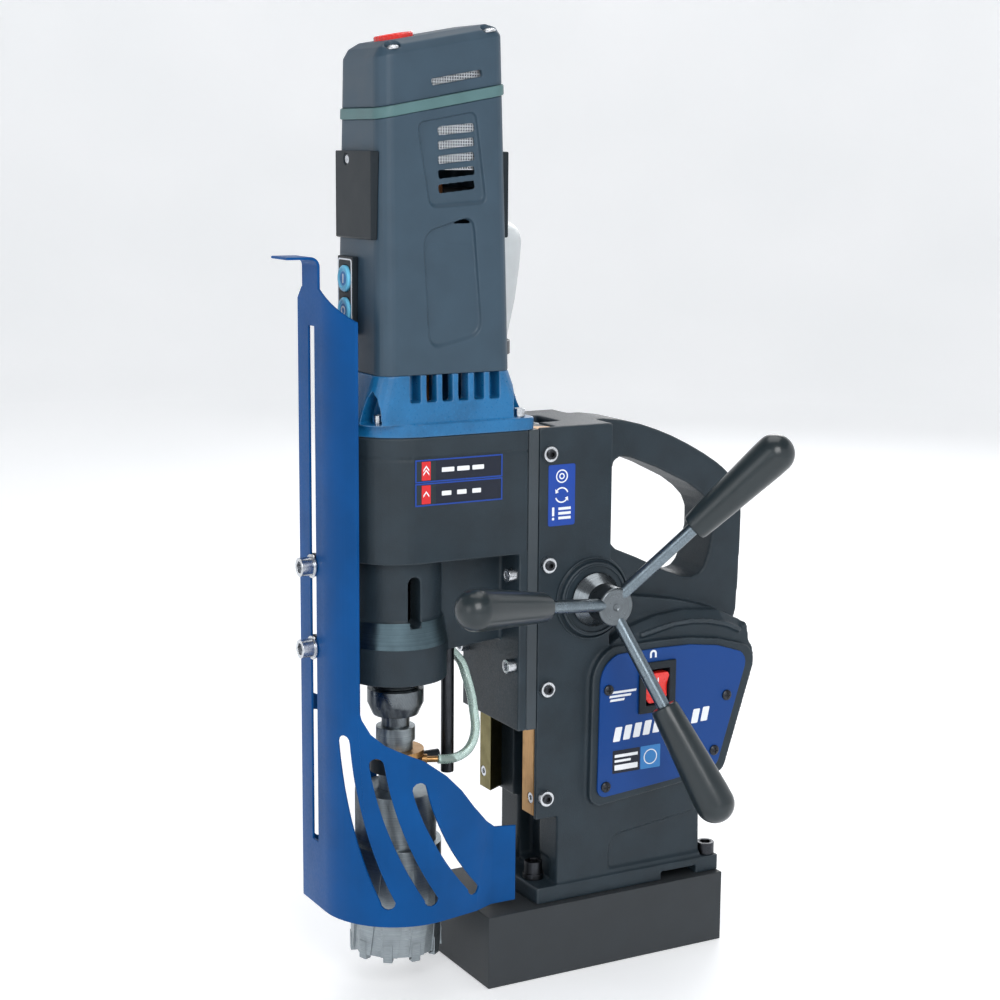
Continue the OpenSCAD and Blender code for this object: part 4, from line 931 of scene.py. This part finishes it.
def make_crank():
    axis = crank_axis()
    bm = bmesh.new()
    lathe(bm, rounded_outline([(8, 42.7), (17.6, 42.7), (17.6, 43.6), (11.0, 53.4)], 0.6, closed=False),
          axis)
    finish_piece(mesh_object("hub_cone", bm), BARE["polished_cone"], "crank")
    bm = bmesh.new()
    profile = [(8, 52.4), (12.4, 52.4), (12.4, 67.0), (11.4, 68.0), (2.6, 68.0), (1.6, 67.2), (0, 67.2)]
    lathe(bm, rounded_outline(profile, 0.5, closed=False), axis)
    finish_piece(mesh_object("hub_head", bm), FINISHES["dark_steel"], "crank", ["crank_hub"])
    rods, grips = bmesh.new(), bmesh.new()
    for k in range(3):
        arm = arm_axis(k)
        lathe(rods, [(0, 7), (4.2, 7), (4.2, 97.6), (3.8, 98), (0, 98)], arm, 32)
        shaft = [(0, 72.0), (7.6, 72.0), (8.5, 72.6), (9.1, 74.5), (9.7, 84), (10.3, 95), (10.9, 106),
                 (11.5, 117), (12.0, 126), (12.4, 134)]
        lathe(grips, shaft + arc(0, 140.5, 12.5, 0, 90, 14)[:-1] + [(0, 153.0)], arm, 64)
    finish_piece(mesh_object("rods_shape", rods), BARE["rod_steel"], "crank", ["crank_rods"])
    finish_piece(mesh_object("grips_shape", grips), FINISHES["grip_plastic"], "crank",
                 ["crank_grips"])


# ---------- guard ----------

def make_guard():
    rounded_node("guard", 0.35, segments=2, angle=45)


# ---------- bottle ----------

def make_bottle():
    place = Matrix.Translation(BOTTLE)
    outer = [(0, 390), (9, 390), (11, 392), (11, 399), (21, 399), (23.6, 400), (25, 402), (28, 417),
             (31, 432), (34, 456)] + arc(21, 470, 14, 0, 72, 9) + [(15, 485.4), (13, 487), (13, 498)]
    inner = [(max(r - 1.4, 0.0), z + (1.4 if z < 410 else 0)) for r, z in outer]
    bm = bmesh.new()
    lathe(bm, outer + inner[::-1][:-1] + [(0, 391.4)], place)
    finish_piece(mesh_object("bottle_shape", bm), FINISHES["bottle_white"], "head",
                 ["coolant_bottle"])
    bm = bmesh.new()
    ribbed(bm, [(13.4, 490, 0), (15.2, 490, 0), (16, 490.8, -0.5), (16, 500.4, -0.5), (15, 501.8, 0),
                (13.4, 502, 0), (13.0, 501.4, 0)], place, 120)
    finish_piece(mesh_object("bottle_cap_shape", bm), FINISHES["cap_blue"], "filler_cap",
                 ["bottle_cap"])


# ---------- everything else ----------

ROUNDED = {
    "magnet_body": 0.6, "foot_bolts": 0.35, "guide_strip_right": 0.4, "guide_strip_left": 0.4,
    "strip_screws": 0.2, "gib_screws": 0.2, "gib_nuts": 0.4, "panel_screws": 0.15, "mains_gland": 0.4,
    "head_slide": 0.5, "slide_bolts": 0.3, "flange_screws": 0.25, "cover_screws": 0.2, "brush_covers": 0.9,
    "spindle": 0.3, "arbor": 0.3, "hole_cutter": 0.3, "pilot_pin": 0.3, "coolant_ring": 0.4,
    "brass_fittings": 0.25, "torque_rod": 0.5, "bottle_bracket": 0.3, "selector_knob": 0.8,
    "guard_bracket": 0.3, "guard_bolts": 0.25, "shaft_bushes": 0.3, "pinion_shaft": 0.15,
}


def finish_frame_nodes():
    """Gives every CAD node its slot's material, whether or not a piece stands for it."""
    for name, node in frame["nodes"].items():
        node.data.materials.clear()
        node.data.materials.append(FINISHES[slot_of[name]])


def make_studio():
    """Pale floor that curves up all round, so that it has no horizon."""
    bm = bmesh.new()
    wall = [(3000 + x, z) for x, z in arc(0, 1400, 1400, -90, 0, 16)]
    profile = [(0, 0), (1800, 0), (3000, 0)] + wall + [(4400, 2600)]
    lathe(bm, profile, Matrix.Translation((0, 0, -0.2)), steps=96)
    bowl = mesh_object("studio", bm)
    bowl.data.flip_normals()
    smooth(bowl, 60)
    finish = Finish("studio_floor", Roughness=0.6, Emission_Color=(1, 1, 1, 1), Emission_Strength=0.33)
    finish.set("Base Color", finish.mix(finish.ramp(finish.noise(400, 2), 0.3, 0.7), srgb(236, 238, 240),
                                        srgb(242, 243, 245)))
    bowl.data.materials.append(finish.material)


scene.view_settings.view_transform = "Standard"
add_camera()
make_hose()
add_world()
add_softbox("key", (1.9, -0.5, 1.5), (0, -0.05, 0.3), 1.1, 1.1, 25)
add_softbox("fill", (0.9, -2.1, 0.9), (0, 0, 0.3), 0.9, 1.3, 5, (0.95, 0.98, 1))
add_softbox("top", (-0.3, 0.2, 2.0), (0, -0.05, 0.3), 1.4, 1.4, 12)
add_softbox("rim", (-1.5, 1.3, 1.3), (0, 0, 0.3), 0.8, 1.2, 12)
finish_frame_nodes()
make_column()
make_icon_label()
make_panel()
make_switch()
make_gearbox()
make_flange()
make_motor()
make_band_and_cap()
make_dial()
make_keypad()
make_crank()
make_guard()
make_bottle()
for name, width in ROUNDED.items():
    rounded_node(name, width)
make_studio()
